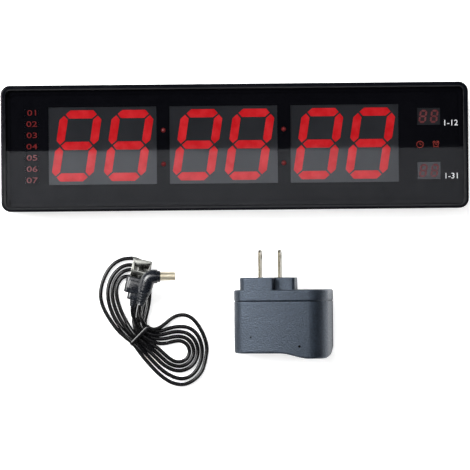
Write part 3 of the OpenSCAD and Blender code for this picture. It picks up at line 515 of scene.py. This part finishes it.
# Smoked acrylic: part of the light passes, part goes to a dark glossy skin
panelSettings = {
    "passes": (232, 233, 235),   # tint of what shows through
    "solid": 0.1,                # share of the dark body
    "body": (5, 5, 7),
    "roughness": 0.015,
    "waveScale": 45,             # faint waves, per metre
    "waveStrength": 0.02,
    "waveHeight": 0.02,
}


def makeSmoked(s):
    material, nodes, links = newMaterial("smokedPanel")
    skin = nodes["Principled BSDF"]
    setInputs(skin, {
        "Base Color": linear(*s["body"]), "Specular IOR Level": 0, "Roughness": s["roughness"]})
    waves = addNoise(nodes, links, s["waveScale"], 2)
    links.new(addBump(nodes, links, waves, s["waveStrength"], s["waveHeight"]), skin.inputs["Normal"])
    clear = nodes.new("ShaderNodeBsdfTransparent")
    setInputs(clear, {"Color": linear(*s["passes"])})
    both = nodes.new("ShaderNodeMixShader")
    setInputs(both, {"Fac": s["solid"]})
    links.new(clear.outputs["BSDF"], both.inputs[1])
    links.new(skin.outputs["BSDF"], both.inputs[2])
    links.new(both.outputs["Shader"], nodes["Material Output"].inputs["Surface"])
    return material


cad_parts["front_panel"].material_slots[0].material = makeSmoked(panelSettings)

# Front frame of the case: a glossy moulded ring with rounded edges
bezelSettings = {
    "wall": 2.2,
    "rim": 3.2,
    "ledgeDepth": 2.85,
    "ledgeWidth": 3.45,
    "ledgeThickness": 2,
    "outerRound": 0.9,
    "innerRound": 0.25,
    "cornerRadius": 6,
    "leastCorner": 2.8,
    "cornerSteps": 10,
}


def makeBezel(s):
    low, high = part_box("front_bezel")
    w, h, top, foot = (high.x - low.x) / mm, (high.y - low.y) / mm, high.z / mm, low.z / mm
    r, q, rim = s["outerRound"], s["innerRound"], s["rim"]
    ledge = top - s["ledgeDepth"]
    under, inner = ledge - s["ledgeThickness"], rim + s["ledgeWidth"]
    profile = [(0, foot), (0, top - r)]
    profile += [(r * (1 - cos(a)), top - r * (1 - sin(a))) for a in quarter[1:]]
    profile += [(rim - q, top)]
    profile += [(rim - q * (1 - sin(a)), top - q * (1 - cos(a))) for a in (pi / 6, pi / 3, pi / 2)]
    profile += [(rim, ledge), (inner, ledge), (inner, under), (s["wall"], under), (s["wall"], foot)]
    ring = frameRing("frontFrame", w, h, s["cornerRadius"], profile, skins["bezel_black"],
                     steps=s["cornerSteps"], least=s["leastCorner"])
    ring.data.materials.append(skins["black_tape"])
    for face in ring.data.polygons:   # the ledge under the panel is as glossy as the mask
        if face.normal.z > 0.9 and abs(face.center.z / mm - ledge) < 0.1:
            face.material_index = 1
    return ring


standFor(makeBezel(bezelSettings), "timer_case", "bezel_black", "front_bezel")
print("front frame moulded")

# Plain numbers and pictograms on dark film, in the mask's openings
filmSettings = {
    "filmGap": 0.02, "filmLift": 0.01, "filmThickness": 0.19, "filmCorner": 0.2,
    "printLift": 0.215, "printThickness": 0.016,
    "legendX": -128.35, "legendY": 1.4, "legendPitch": 7.12, "legendCount": 7,
    "legendSize": (8.6, 3.8), "legendHeight": 3.6, "legendStretch": 1.45, "legendBold": 0.03,
    "iconX": (117.35, 127.45), "iconY": 0.4, "iconDiameter": 5.0,
    "iconRadii": (2.2, 1.75), "rimWidth": 0.34,
    "handWidth": 0.3, "handTail": 0.1, "handReach": (0.58, 0.5),
    "alarmParts": {   # from x, y to x, y, and the width
        "iconBell": (0.8, 2.25, 2.05, 1.25, 0.5),
        "iconFoot": (1.1, -1.3, 1.55, -1.85, 0.4),
    },
    "captions": (("1-12", 14.1), ("1-31", -19.5)),
    "captionX": 137.2, "captionHeight": 3.7, "captionLift": 0.012, "captionStretch": 1.05,
    "capitalShare": 0.72,      # height of a capital in a text's size
    "textThickness": 0.008, "textSteps": 3,
}
# the print's glow is painted light: the print is no lamp
printInkGlow = {
    "toneScale": 300, "rough": (0.02, 0.035), "grainScale": 300, "bump": 0.001, "strength": 0.05,
    "glow": 0.3,
}
filmBlack = makeFinish("filmBlack", finishes["black_tape"][1])
printRed = makeFinish("printRed", printInkGlow | {
    "colour": (132, 42, 42), "tone": (148, 54, 52), "specular": 1.0})
printDull = makeFinish("printDull", printInkGlow | {
    "colour": (186, 72, 62), "tone": (200, 84, 74), "specular": 0.4})
# the white captions carry a painted glow as well
printWhite = makeFinish("printWhite", {
    "colour": (232, 232, 232), "tone": (244, 244, 244), "toneScale": 300, "rough": (0.4, 0.5),
    "grainScale": 700, "bump": 0.01, "strength": 0.3, "glow": 0.35})


def makePrint(name, words, x, y, z, height, material, stretch=1.0, bold=0.0):
    s = filmSettings
    data = bpy.data.curves.new(name, "FONT")
    data.body = words
    data.align_x, data.align_y = "CENTER", "CENTER"
    data.size = height / s["capitalShare"] * mm
    data.extrude = s["textThickness"] * mm
    data.offset = bold * mm
    data.resolution_u = s["textSteps"]
    mesh = bakeMesh(addObject(name, data))
    spanX = min(v.co.x for v in mesh.vertices), max(v.co.x for v in mesh.vertices)
    spanY = min(v.co.y for v in mesh.vertices), max(v.co.y for v in mesh.vertices)
    for v in mesh.vertices:
        v.co.x = (v.co.x - sum(spanX) / 2) * stretch + x * mm
        v.co.y += y * mm - sum(spanY) / 2
        v.co.z += z * mm
    mesh.materials.clear()
    mesh.materials.append(material)
    for face in mesh.polygons:
        face.material_index = 0
    return finishMesh(name, mesh)


# A flat ring, disc or bar of print, as points round a closed loop
def flatLoop(name, outline, inner, z, thick, material):
    loops = [(outline, z), (outline, z + thick)]
    if inner:
        loops = [(inner, z)] + loops + [(inner, z + thick)]
    rings = [[(x, y, height) for x, y in loop] for loop, height in loops]
    return loft(name, rings, material, closed=bool(inner))


def strip(x0, y0, x1, y1, w):
    a, b = Vector((x0, y0)), Vector((x1, y1))
    side = Vector((-(b - a).y, (b - a).x)).normalized() * w / 2
    return [tuple(a - side), tuple(b - side), tuple(b + side), tuple(a + side)]


def makeFilms(s):
    maskLow, maskHigh = (v.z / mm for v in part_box("panel_mask"))
    filmLow, filmThick, gap = maskLow + s["filmLift"], s["filmThickness"], s["filmGap"]
    z, thick = maskLow + s["printLift"], s["printThickness"]
    films, prints = [], []
    w, h = s["legendSize"]
    for k in range(s["legendCount"]):
        x, y = s["legendX"], s["legendY"] - (k - s["legendCount"] // 2) * s["legendPitch"]
        outline = [(u + x, v + y) for u, v in roundedBox(w - 2 * gap, h - 2 * gap, s["filmCorner"], 2)]
        films.append(flatLoop("legendFilm", outline, None, filmLow, filmThick, filmBlack))
        prints.append(makePrint("legendNumber", "0%d" % (k + 1), x, y, z, s["legendHeight"], printRed,
                                s["legendStretch"], s["legendBold"]))
    y, tail = s["iconY"], s["handTail"]
    up, across = s["handReach"]
    for x, r in zip(s["iconX"], s["iconRadii"]):
        disc = circle(x, y, s["iconDiameter"] / 2 - gap)
        films.append(flatLoop("iconFilm", disc, None, filmLow, filmThick, filmBlack))
        prints.append(flatLoop("iconRim", circle(x, y, r), circle(x, y, r - s["rimWidth"]), z, thick,
                               printDull))
        for hand in ((x, y - tail, x, y + r * up), (x - tail, y, x + r * across, y)):
            prints.append(flatLoop("iconHand", strip(*hand, s["handWidth"]), None, z, thick, printDull))
    for side in (-1, 1):   # bells and feet of the last one
        for part, (x0, y0, x1, y1, width) in s["alarmParts"].items():
            bar = strip(x + side * x0, y + y0, x + side * x1, y + y1, width)
            prints.append(flatLoop(part, bar, None, z, thick, printDull))
    for words, y in s["captions"]:
        prints.append(makePrint("caption", words, s["captionX"], y, maskHigh + s["captionLift"],
                                s["captionHeight"], printWhite, s["captionStretch"]))
    return joinPieces("legendFilms", films), joinPieces("panelPrint", prints)


for piece in makeFilms(filmSettings):
    standFor(piece, "timer_case", "black_tape")
print("numbers and pictograms printed")


# Adapter: a leaned round-sided body, its cap and its blade boss
adapterSettings = {
    "x": 30, "width": 64, "seamY": -98, "capLength": 7.2, "bossLength": 7.8, "bodyEnd": -131.1,
    "lowHeight": 20.4, "tilt": 12, "footIn": (2, 3), "bulge": 8, "highIn": 6,
    "corners": (5, 5, 6, 11, 8), "cornerSteps": 14, "ringPoints": 200, "crown": 1.6, "sink": 1.05,
    "lobe": 3.4, "lobeStart": -3, "lobeRun": 19,
    "endCorners": ((0.7, 6.0, 1), (0.1, 1.6, -1)),   # inset, radius and side
    "bladeX": 21.8, "bladeZ": 14.5,
    "socketX": 21, "socketZ": 13, "socketWidth": 13.4, "socketHeight": 6.2, "socketDepth": 14.8,
    "socketCorner": 0.4, "socketPast": 4,
    "seamRound": 0.7, "endRound": 1.3, "capRound": 0.9, "capSeamRound": 0.3, "capStep": 0.25,
    "capStepLength": 0.4, "bossRound": 0.7, "bossPoints": 150, "bossCrown": (7, 2),
    "bossOutline": [(-18.5, -9, 3), (16.5, -9, 3), (16.5, 4.4, 2), (4, 4.4, 0.6), (4, 10.7, 1),
                    (-18.5, 10.7, 5)],
    "capMark": (-3.3, -88.9, 11.6, 0.6),
    "bodyMarks": ((9.1, -120.6, 0.62), (39.7, -126.5, 0.8)),
}


# The leaned face is a little crowned, and sinks toward its high side to stay within the CAD height
def crownAt(s, across):
    t = min(1, max(0, across / (s["width"] - s["highIn"])))
    return s["crown"] * (1 - (2 * t - 1) ** 2) - s["sink"] * t


def adapterSection(s):
    w, low = s["width"] / 2, s["lowHeight"]
    high = low + (s["width"] - s["highIn"]) * tan(radians(s["tilt"]))
    points = [(-w + s["footIn"][0], 0), (w - s["footIn"][1], 0), (w, s["bulge"]),
              (w - s["highIn"], high), (-w, low)]
    corners = [(x, y, r) for (x, y), r in zip(points, s["corners"])]
    outline = resample(roundedOutline(corners, s["cornerSteps"]), s["ringPoints"])
    for p in outline:
        if p.y > low / 2:
            p.y += crownAt(s, p.x + w)
    return outline


def easeStep(v):
    v = max(0, min(1, v))
    return v * v * (3 - 2 * v)


# How far the body reaches at x across it: flat, then an S down to the lobe, then a round corner
def bodyReach(s, x):
    drop = s["lobe"] * easeStep((x - s["lobeStart"]) / s["lobeRun"])
    for inset, radius, side in s["endCorners"]:
        over = abs(x) - (s["width"] / 2 - inset - radius) if x * side > 0 else 0
        if over > 0:
            drop -= radius - sqrt(max(radius * radius - min(over, radius) ** 2, 0))
    return s["bodyEnd"] - drop


def bodyRing(s, section, inset, height, reach=False):
    ring = []
    for p in pulledIn(section, inset):
        y = bodyReach(s, p.x) + height if reach else height
        ring.append((s["x"] + p.x, y, max(p.y, 0.0)))
    return ring


def makeBody(s):
    section, slate = adapterSection(s), skins["adapter_slate"]
    r, q, seam = s["endRound"], s["seamRound"], s["seamY"]
    rings = [bodyRing(s, section, q * (1 - sin(a)), seam - q * (1 - cos(a))) for a in quarter]
    low = bodyRing(s, section, 0, r, True)
    for t in (0.01, 0.03, 0.25, 0.5, 0.75, 0.97, 0.99):   # close rings keep the flat faces flat
        rings.append([(x, seam - q + (y - seam + q) * t, z) for x, y, z in low])
    rings += [bodyRing(s, section, r * (1 - cos(a)), r * (1 - sin(a)), True)
              for a in (0, pi / 12, pi / 6, pi / 4, pi / 3, 5 * pi / 12, pi / 2)]
    last = rings[-1]
    middleZ = sum(p[2] for p in last) / len(last)
    for t in (0.75, 0.45, 0.15):
        rings.append([(x, y, middleZ + (z - middleZ) * t) for x, y, z in last])
    body = loft("adapterBody", rings, slate)
    opening = roundedBox(s["socketWidth"], s["socketHeight"], s["socketCorner"], 3)
    ends = s["bodyEnd"] - s["socketPast"], s["bodyEnd"] + s["socketDepth"]
    cutter = loft("socketCut", [[(s["socketX"] + x, y, s["socketZ"] + z) for x, z in opening]
                                for y in ends], slate)
    cut = body.modifiers.new("socket", "BOOLEAN")
    cut.operation, cut.object, cut.solver = "DIFFERENCE", cutter, "EXACT"
    return finishMesh("adapterBody", bakeMesh(body, cutter))


def leaned(s, x, y, z):
    return Matrix.Translation((x, y, z)) @ Matrix.Rotation(-radians(s["tilt"]), 4, "Y")


# The leaned top face at x, y
def topFace(s, x, y):
    across = x - s["x"] + s["width"] / 2
    return leaned(s, x, y, s["lowHeight"] + across * tan(radians(s["tilt"])) + crownAt(s, across))


# A low dome left by the mould, in rings from below the face up
def makeMark(place, radius, skin):
    rings = [[(x, y, radius * 0.4 * sin(a)) for x, y in circle(0, 0, radius * cos(a), 20)]
             for a in (-0.6, 0, 0.4, 0.8, 1.2)]
    return loft("gateMark", rings, skin, place)


def makeCap(s):
    section, slate = adapterSection(s), skins["adapter_slate"]
    r, q, seam, step = s["capRound"], s["capSeamRound"], s["seamY"], s["capStep"]
    capY = seam + s["capLength"]
    rings = [bodyRing(s, section, q * (1 - sin(a)) + step, seam + q * (1 - cos(a)))
             for a in (0, pi / 4, pi / 2)]
    rings += [bodyRing(s, section, step * (1 - t), seam + q + t * s["capStepLength"]) for t in (0.5, 1)]
    rings += [bodyRing(s, section, 0, y) for y in (seam + 0.85, seam + 1.2, capY - r - 0.5, capY - r - 0.2)]
    rings += [bodyRing(s, section, r * (1 - cos(a)), capY - r * (1 - sin(a))) for a in quarter]
    cap = loft("adapterCap", rings, slate)
    lean = leaned(s, s["bladeX"], 0, s["bladeZ"])
    outline = resample(roundedOutline(s["bossOutline"], 8), s["bossPoints"])
    crownFrom, crownOver = s["bossCrown"]
    for p in outline:   # its upper face runs on from the crowned cap
        if p.y > crownFrom:
            crown = crownAt(s, s["bladeX"] - s["x"] + s["width"] / 2 + p.x)
            p.y += crown * min(1, (p.y - crownFrom) / crownOver)
    top, e = capY + s["bossLength"], s["bossRound"]
    rings = [[(p.x, y, p.y) for p in outline] for y in (capY - 1, capY + 0.2, top - e - 0.5, top - e - 0.2)]
    rings += [[(p.x, top - e * (1 - sin(a)), p.y) for p in pulledIn(outline, e * (1 - cos(a)))]
              for a in quarter]
    boss = loft("adapterBoss", rings, slate, lean)
    *markAt, markRadius = s["capMark"]
    mark = makeMark(lean @ Matrix.Translation(markAt), markRadius, slate)
    return joinPieces("adapterCap", [cap, boss, mark])


# the body's two marks are raised domes painted near-black as the shade of a pit
marks = [makeMark(topFace(adapterSettings, x, y), r, skins["pit_painted_shade"])
         for x, y, r in adapterSettings["bodyMarks"]]
standFor(joinPieces("adapterBody", [makeBody(adapterSettings)] + marks), "mains_adapter",
         "adapter_slate", "adapter_rear_shell")
standFor(makeCap(adapterSettings), "mains_adapter", "adapter_slate", "adapter_front_cap")
print("adapter moulded")


# Rings in a row, each a little smaller, as a Geometry Nodes tree: the ribs of a strain relief
def makeRibTree():
    tree = bpy.data.node_groups.new("reliefRibs", "GeometryNodeTree")
    for label, way, kind in (
            ("Geometry", "INPUT", "Geometry"), ("Count", "INPUT", "Int"), ("Spacing", "INPUT", "Float"),
            ("First Radius", "INPUT", "Float"), ("Last Radius", "INPUT", "Float"),
            ("Rib Radius", "INPUT", "Float"), ("Material", "INPUT", "Material"),
            ("Geometry", "OUTPUT", "Geometry")):
        tree.interface.new_socket(label, in_out=way, socket_type="NodeSocket" + kind)
    add = tree.nodes.new
    given, result, index = add("NodeGroupInput"), add("NodeGroupOutput"), add("GeometryNodeInputIndex")
    step, size = add("ShaderNodeCombineXYZ"), add("ShaderNodeCombineXYZ")
    row, taper, last = add("GeometryNodeMeshLine"), add("ShaderNodeMapRange"), add("ShaderNodeMath")
    path, profile = add("GeometryNodeCurvePrimitiveCircle"), add("GeometryNodeCurvePrimitiveCircle")
    place, real = add("GeometryNodeInstanceOnPoints"), add("GeometryNodeRealizeInstances")
    tube, paint = add("GeometryNodeCurveToMesh"), add("GeometryNodeSetMaterial")
    last.operation = "SUBTRACT"
    setInputs(last, {1: 1})
    setInputs(path, {"Resolution": 32, "Radius": 1})
    setInputs(profile, {"Resolution": 10})
    setInputs(size, {"Z": 1})
    for source, out, target, into in (
            (given, "Spacing", step, "Z"), (given, "Count", row, "Count"),
            (step, "Vector", row, "Offset"), (given, "Rib Radius", profile, "Radius"),
            (given, "Count", last, 0), (index, "Index", taper, "Value"), (last, 0, taper, "From Max"),
            (given, "First Radius", taper, "To Min"), (given, "Last Radius", taper, "To Max"),
            (taper, "Result", size, "X"), (taper, "Result", size, "Y"), (row, "Mesh", place, "Points"),
            (path, "Curve", place, "Instance"), (size, "Vector", place, "Scale"),
            (place, "Instances", real, "Geometry"), (real, "Geometry", tube, "Curve"),
            (profile, "Curve", tube, "Profile Curve"), (tube, "Mesh", paint, "Geometry"),
            (given, "Material", paint, "Material"), (paint, "Geometry", result, "Geometry")):
        tree.links.new(source.outputs[out], target.inputs[into])
    return tree


ribTree = makeRibTree()


def makeRibs(name, values, place):
    holder = addObject(name, bpy.data.meshes.new(name))
    ribs = holder.modifiers.new("ribs", "NODES")
    ribs.node_group = ribTree
    for item in ribTree.interface.items_tree:
        if item.in_out == "INPUT" and item.name in values:
            ribs[item.identifier] = values[item.name]
    made = bakeMesh(holder)
    made.transform(place)
    return finishMesh(name, made, 60)


# Round plug: collar, elbow, grip and ribbed relief
roundPlugSettings = {
    "elbow": (-55.4, -81.6, 15.9), "dip": 8, "turn": -17,
    "radius": 4.5, "endRound": 0.7, "collarStart": 5.6, "bend": 4.7, "bendSteps": 10,
    "collar": ((5.0, 3.7), (6.9, 3.7), (7.2, 3.55), (7.38, 3.2)),   # x and radius
    "gripLength": 10, "reliefLength": 9, "reliefRadius": 2.5, "reliefStep": 0.9,
    "ribCount": 5, "ribSpacing": 1.65, "ribStart": 1.0, "ribRadius": 0.55, "ribDepths": (1.0, 0.15),
}


def plugPath(s):
    out = Vector((sin(radians(s["turn"])), -cos(radians(s["turn"])), 0))
    back = Vector((-1, 0, 0))
    half = acos(back.dot(out)) / 2
    middle = Vector((s["bend"] * tan(half), 0, 0)) + Vector((0, -s["bend"], 0))
    track = [(Vector((s["collarStart"], 0, 0)), back)]
    for k in range(s["bendSteps"] + 1):
        a = 2 * half * k / s["bendSteps"]
        track.append((middle + Vector((-sin(a), cos(a), 0)) * s["bend"], Vector((-cos(a), -sin(a), 0))))
    for share in (0.6, 0.9, 1):
        track.append((out * (s["gripLength"] * share), out))
    for k in range(1, 6):
        track.append((out * (s["gripLength"] + s["reliefLength"] * k / 5), out))
    return track


def makeRoundPlug(s):
    spot = Matrix.Translation(s["elbow"]) @ Matrix.Rotation(radians(s["dip"]), 4, "X")
    black, track = skins["plug_black"], plugPath(s)
    rings, count = [], 28
    up = Vector((0, 0, 1))
    first, direction = track[0]

    def ringAt(centre, along, radius):
        side = along.cross(up).normalized()
        rings.append([tuple(centre + (side * cos(2 * pi * k / count) + up * sin(2 * pi * k / count)) * radius)
                      for k in range(count)])

    for a in quarter[:-1]:
        ringAt(first + direction * s["endRound"] * (1 - cos(a)), direction,
               s["radius"] - s["endRound"] * (1 - sin(a)))
    for i, (centre, along) in enumerate(track[1:]):
        past = max(0, i + 1 - (len(track) - 6)) / 5
        step = s["reliefStep"] if 0 < past < 1 else 0
        ringAt(centre, along, s["radius"] - (s["radius"] - s["reliefRadius"]) * past - step)
    grip = loft("roundPlugGrip", rings, black, spot, 50)
    collar = loft("roundPlugCollar", [[(x, y, z) for y, z in circle(0, 0, r)] for x, r in s["collar"]],
                  black, spot)
    out = Matrix.Rotation(radians(s["turn"]), 4, "Z") @ Matrix.Rotation(pi / 2, 4, "X")
    ribs = makeRibs("roundPlugRibs", {
        "Count": s["ribCount"], "Spacing": s["ribSpacing"], "Rib Radius": s["ribRadius"],
        "First Radius": s["radius"] - s["ribDepths"][0],
        "Last Radius": s["reliefRadius"] - s["ribDepths"][1], "Material": black,
    }, toMetres @ spot @ out @ Matrix.Translation((0, 0, s["gripLength"] + s["ribStart"])))
    return joinPieces("roundPlug", [grip, collar, ribs])


# Flat plug: overmoulded grip with a stepped, ribbed relief
flatPlugSettings = {
    "mouth": (-59, -71, 6.3), "turn": -13.6, "shellLength": 12, "grip": (15.4, 6.6, 14.5),
    "corner": 2.2, "gripRound": 0.8, "neckRound": 0.6, "neckLength": 4, "neckInside": 1.2,
    "neckShare": (0.62, 0.8), "padIn": (4.6, 8.4), "padCorner": 1.2,
    "cone": ((1, 2.5), (0, 2.45), (-3.8, 1.9), (-4.2, 1.6)),   # y from the neck's foot, and radius
    "ribCount": 3, "ribSpacing": 1.3, "ribRadii": (2.15, 1.75), "ribRadius": 0.4, "ribStart": 0.4,
}


def makeFlatPlug(s):
    spot = Matrix.Translation(s["mouth"]) @ Matrix.Rotation(radians(s["turn"]), 4, "Z")
    black, (w, t, length) = skins["plug_black"], s["grip"]
    start = -s["shellLength"]
    shoulder, foot = start - length + s["neckLength"], start - length

    def block(name, y0, y1, w0, t0, r, edge):
        rings = []
        for y, way, angles in ((y0, -1, quarter), (y1, 1, quarter[::-1])):
            for a in angles:
                i = edge * (1 - sin(a))
                rings.append([(x, y + way * edge * (1 - cos(a)), z)
                              for x, z in roundedBox(w0 - 2 * i, t0 - 2 * i, r - i * 0.6)])
        return loft(name, rings, black, spot, 50)

    grip = block("flatPlugGrip", start, shoulder, w, t, s["corner"], s["gripRound"])
    neck = block("flatPlugNeck", shoulder + s["neckInside"], foot, w * s["neckShare"][0],
                 t * s["neckShare"][1], s["corner"], s["neckRound"])
    cone = loft("flatPlugCone", [[(x, foot + y, z) for x, z in circle(0, 0, r, 24)] for y, r in s["cone"]],
                black, spot)
    padX, padY = w - s["padIn"][0], length - s["padIn"][1]
    pad = loft("flatPlugPad", [[(x, y + (start + shoulder) / 2, z)
                                for x, y in roundedBox(padX - 2 * i, padY - 2 * i, s["padCorner"], 4)]
                               for i, z in ((0, t / 2 - 0.3), (0, t / 2 + 0.12), (0.35, t / 2 + 0.3))],
               black, spot)
    ribs = makeRibs("flatPlugRibs", {
        "Count": s["ribCount"], "Spacing": s["ribSpacing"], "Rib Radius": s["ribRadius"],
        "First Radius": s["ribRadii"][0], "Last Radius": s["ribRadii"][1], "Material": black,
    }, toMetres @ spot @ Matrix.Translation((0, foot - s["ribStart"], 0)) @ Matrix.Rotation(
        pi / 2, 4, "X"))
    return joinPieces("flatPlug", [grip, neck, cone, pad, ribs])


roundPlug = standFor(makeRoundPlug(roundPlugSettings), "usb_lead", "plug_black", "dc_plug_body")
flatPlug = standFor(makeFlatPlug(flatPlugSettings), "usb_lead", "plug_black", "usb_plug_body")
flatPlugShell = standFor(softenedCopy("flatPlugShell", "usb_plug_shell", skins["plug_steel_shaded"], 0.22),
                         "usb_lead", "steel", "usb_plug_shell")
print("plugs moulded")


# Table, lamps and the bright card that the panel mirrors
studioSettings = {
    "table": 9.4,
    "tableBelow": 0.15,      # mm
    "paper": {"white": 0.93, "roughness": 0.9, "specular": 0.1},
    "tableGlow": (0.6, 1.0, 0.5, 1.3),       # glow near and far, and how far out each is
    "worldGlow": (0.4, 0.06, 0.1, 0.95),     # light from low all round and from overhead, and where
    "worldLean": 38,         # degrees
    "lampAim": (0, -0.05, 0),
    "lamps": [   # name, where, size, watts, seen in reflections
        ("keyLamp", (-1.0, 0.4, 1.15), 0.9, 32, True),
        ("fillLamp", (1.1, 0.1, 1.4), 1.0, 5, False),
        ("topLamp", (-0.2, 1.1, 1.1), 0.8, 14, False),
        ("frontLamp", (0.0, -1.2, 1.2), 1.0, 6, False),
    ],
    "card": {"low": -46, "high": 4.8, "half": 180, "height": 285, "left": 3.8, "right": 2.6},
    "backdrop": {"radius": 4.4, "span": (-400, 6000), "sides": 48},
}


def addLamp(name, where, size, watts, mirrored, aim):
    data = bpy.data.lights.new(name, "AREA")
    data.shape, data.size, data.energy = "SQUARE", size, watts
    lamp = addObject(name, data)
    lamp.location = where
    lamp.rotation_euler = (Vector(aim) - Vector(where)).to_track_quat("-Z", "Y").to_euler()
    lamp.visible_glossy = mirrored


def makeWorld(s):
    world = bpy.data.worlds.new("studio")
    world.use_nodes = True
    nodes, links = world.node_tree.nodes, world.node_tree.links
    where, split = nodes.new("ShaderNodeTexCoord"), nodes.new("ShaderNodeSeparateXYZ")
    lean = nodes.new("ShaderNodeMapping")   # the dark overhead leans over to the right
    setInputs(lean, {"Rotation": (0, -radians(s["worldLean"]), 0)})
    links.new(where.outputs["Generated"], lean.inputs["Vector"])
    links.new(lean.outputs["Vector"], split.inputs["Vector"])
    links.new(spread(nodes, links, split.outputs["Z"], *s["worldGlow"]),
              nodes["Background"].inputs["Strength"])
    bpy.context.scene.world = world


def makeTable(s):
    paper, nodes, links = newMaterial("tablePaper")
    skin, white = nodes["Principled BSDF"], s["paper"]["white"]
    setInputs(skin, {
        "Base Color": (white, white, white, 1), "Roughness": s["paper"]["roughness"],
        "Specular IOR Level": s["paper"]["specular"], "Emission Color": (1, 1, 1, 1)})
    where, reach = nodes.new("ShaderNodeTexCoord"), nodes.new("ShaderNodeVectorMath")
    reach.operation = "LENGTH"
    links.new(where.outputs["Object"], reach.inputs[0])
    links.new(spread(nodes, links, reach.outputs["Value"], *s["tableGlow"]),
              skin.inputs["Emission Strength"])
    half, z = s["table"] / 2 / mm, -s["tableBelow"]
    return putMesh("table", [(-half, -half, z), (half, -half, z), (half, half, z), (-half, half, z)],
                   [(0, 1, 2, 3)], paper)


def makeCard(c):
    glow, nodes, links = newMaterial("cardGlow")
    lit, half, z = nodes["Principled BSDF"], c["half"], c["height"]
    setInputs(lit, {"Base Color": (0, 0, 0, 1), "Emission Color": (1, 1, 1, 1)})
    where, split = nodes.new("ShaderNodeTexCoord"), nodes.new("ShaderNodeSeparateXYZ")
    links.new(where.outputs["Object"], split.inputs["Vector"])
    links.new(spread(nodes, links, split.outputs["X"], c["left"], c["right"], -half * mm, half * mm),
              lit.inputs["Emission Strength"])
    card = putMesh("mirrorCard", [(-half, c["low"], z), (half, c["low"], z), (half, c["high"], z),
                                  (-half, c["high"], z)], [(0, 3, 2, 1)], glow)
    card.visible_camera = card.visible_diffuse = card.visible_shadow = card.visible_transmission = False
    return card


def makeBackdrop(b):
    white, nodes, _ = newMaterial("backdropWhite")
    setInputs(nodes["Principled BSDF"], {"Emission Color": (1, 1, 1, 1), "Emission Strength": 1})
    rings = [[(x, y, z) for x, y in circle(0, 0, b["radius"] / mm, b["sides"])] for z in b["span"]]
    backdrop = loft("backdrop", rings, white, caps=False)
    backdrop.visible_diffuse = backdrop.visible_glossy = backdrop.visible_shadow = False
    return backdrop


makeWorld(studioSettings)
for lamp in studioSettings["lamps"]:
    addLamp(*lamp, studioSettings["lampAim"])
makeTable(studioSettings)
makeCard(studioSettings["card"])
makeBackdrop(studioSettings["backdrop"])
bpy.context.scene.view_settings.view_transform = "Standard"
print("studio lit")
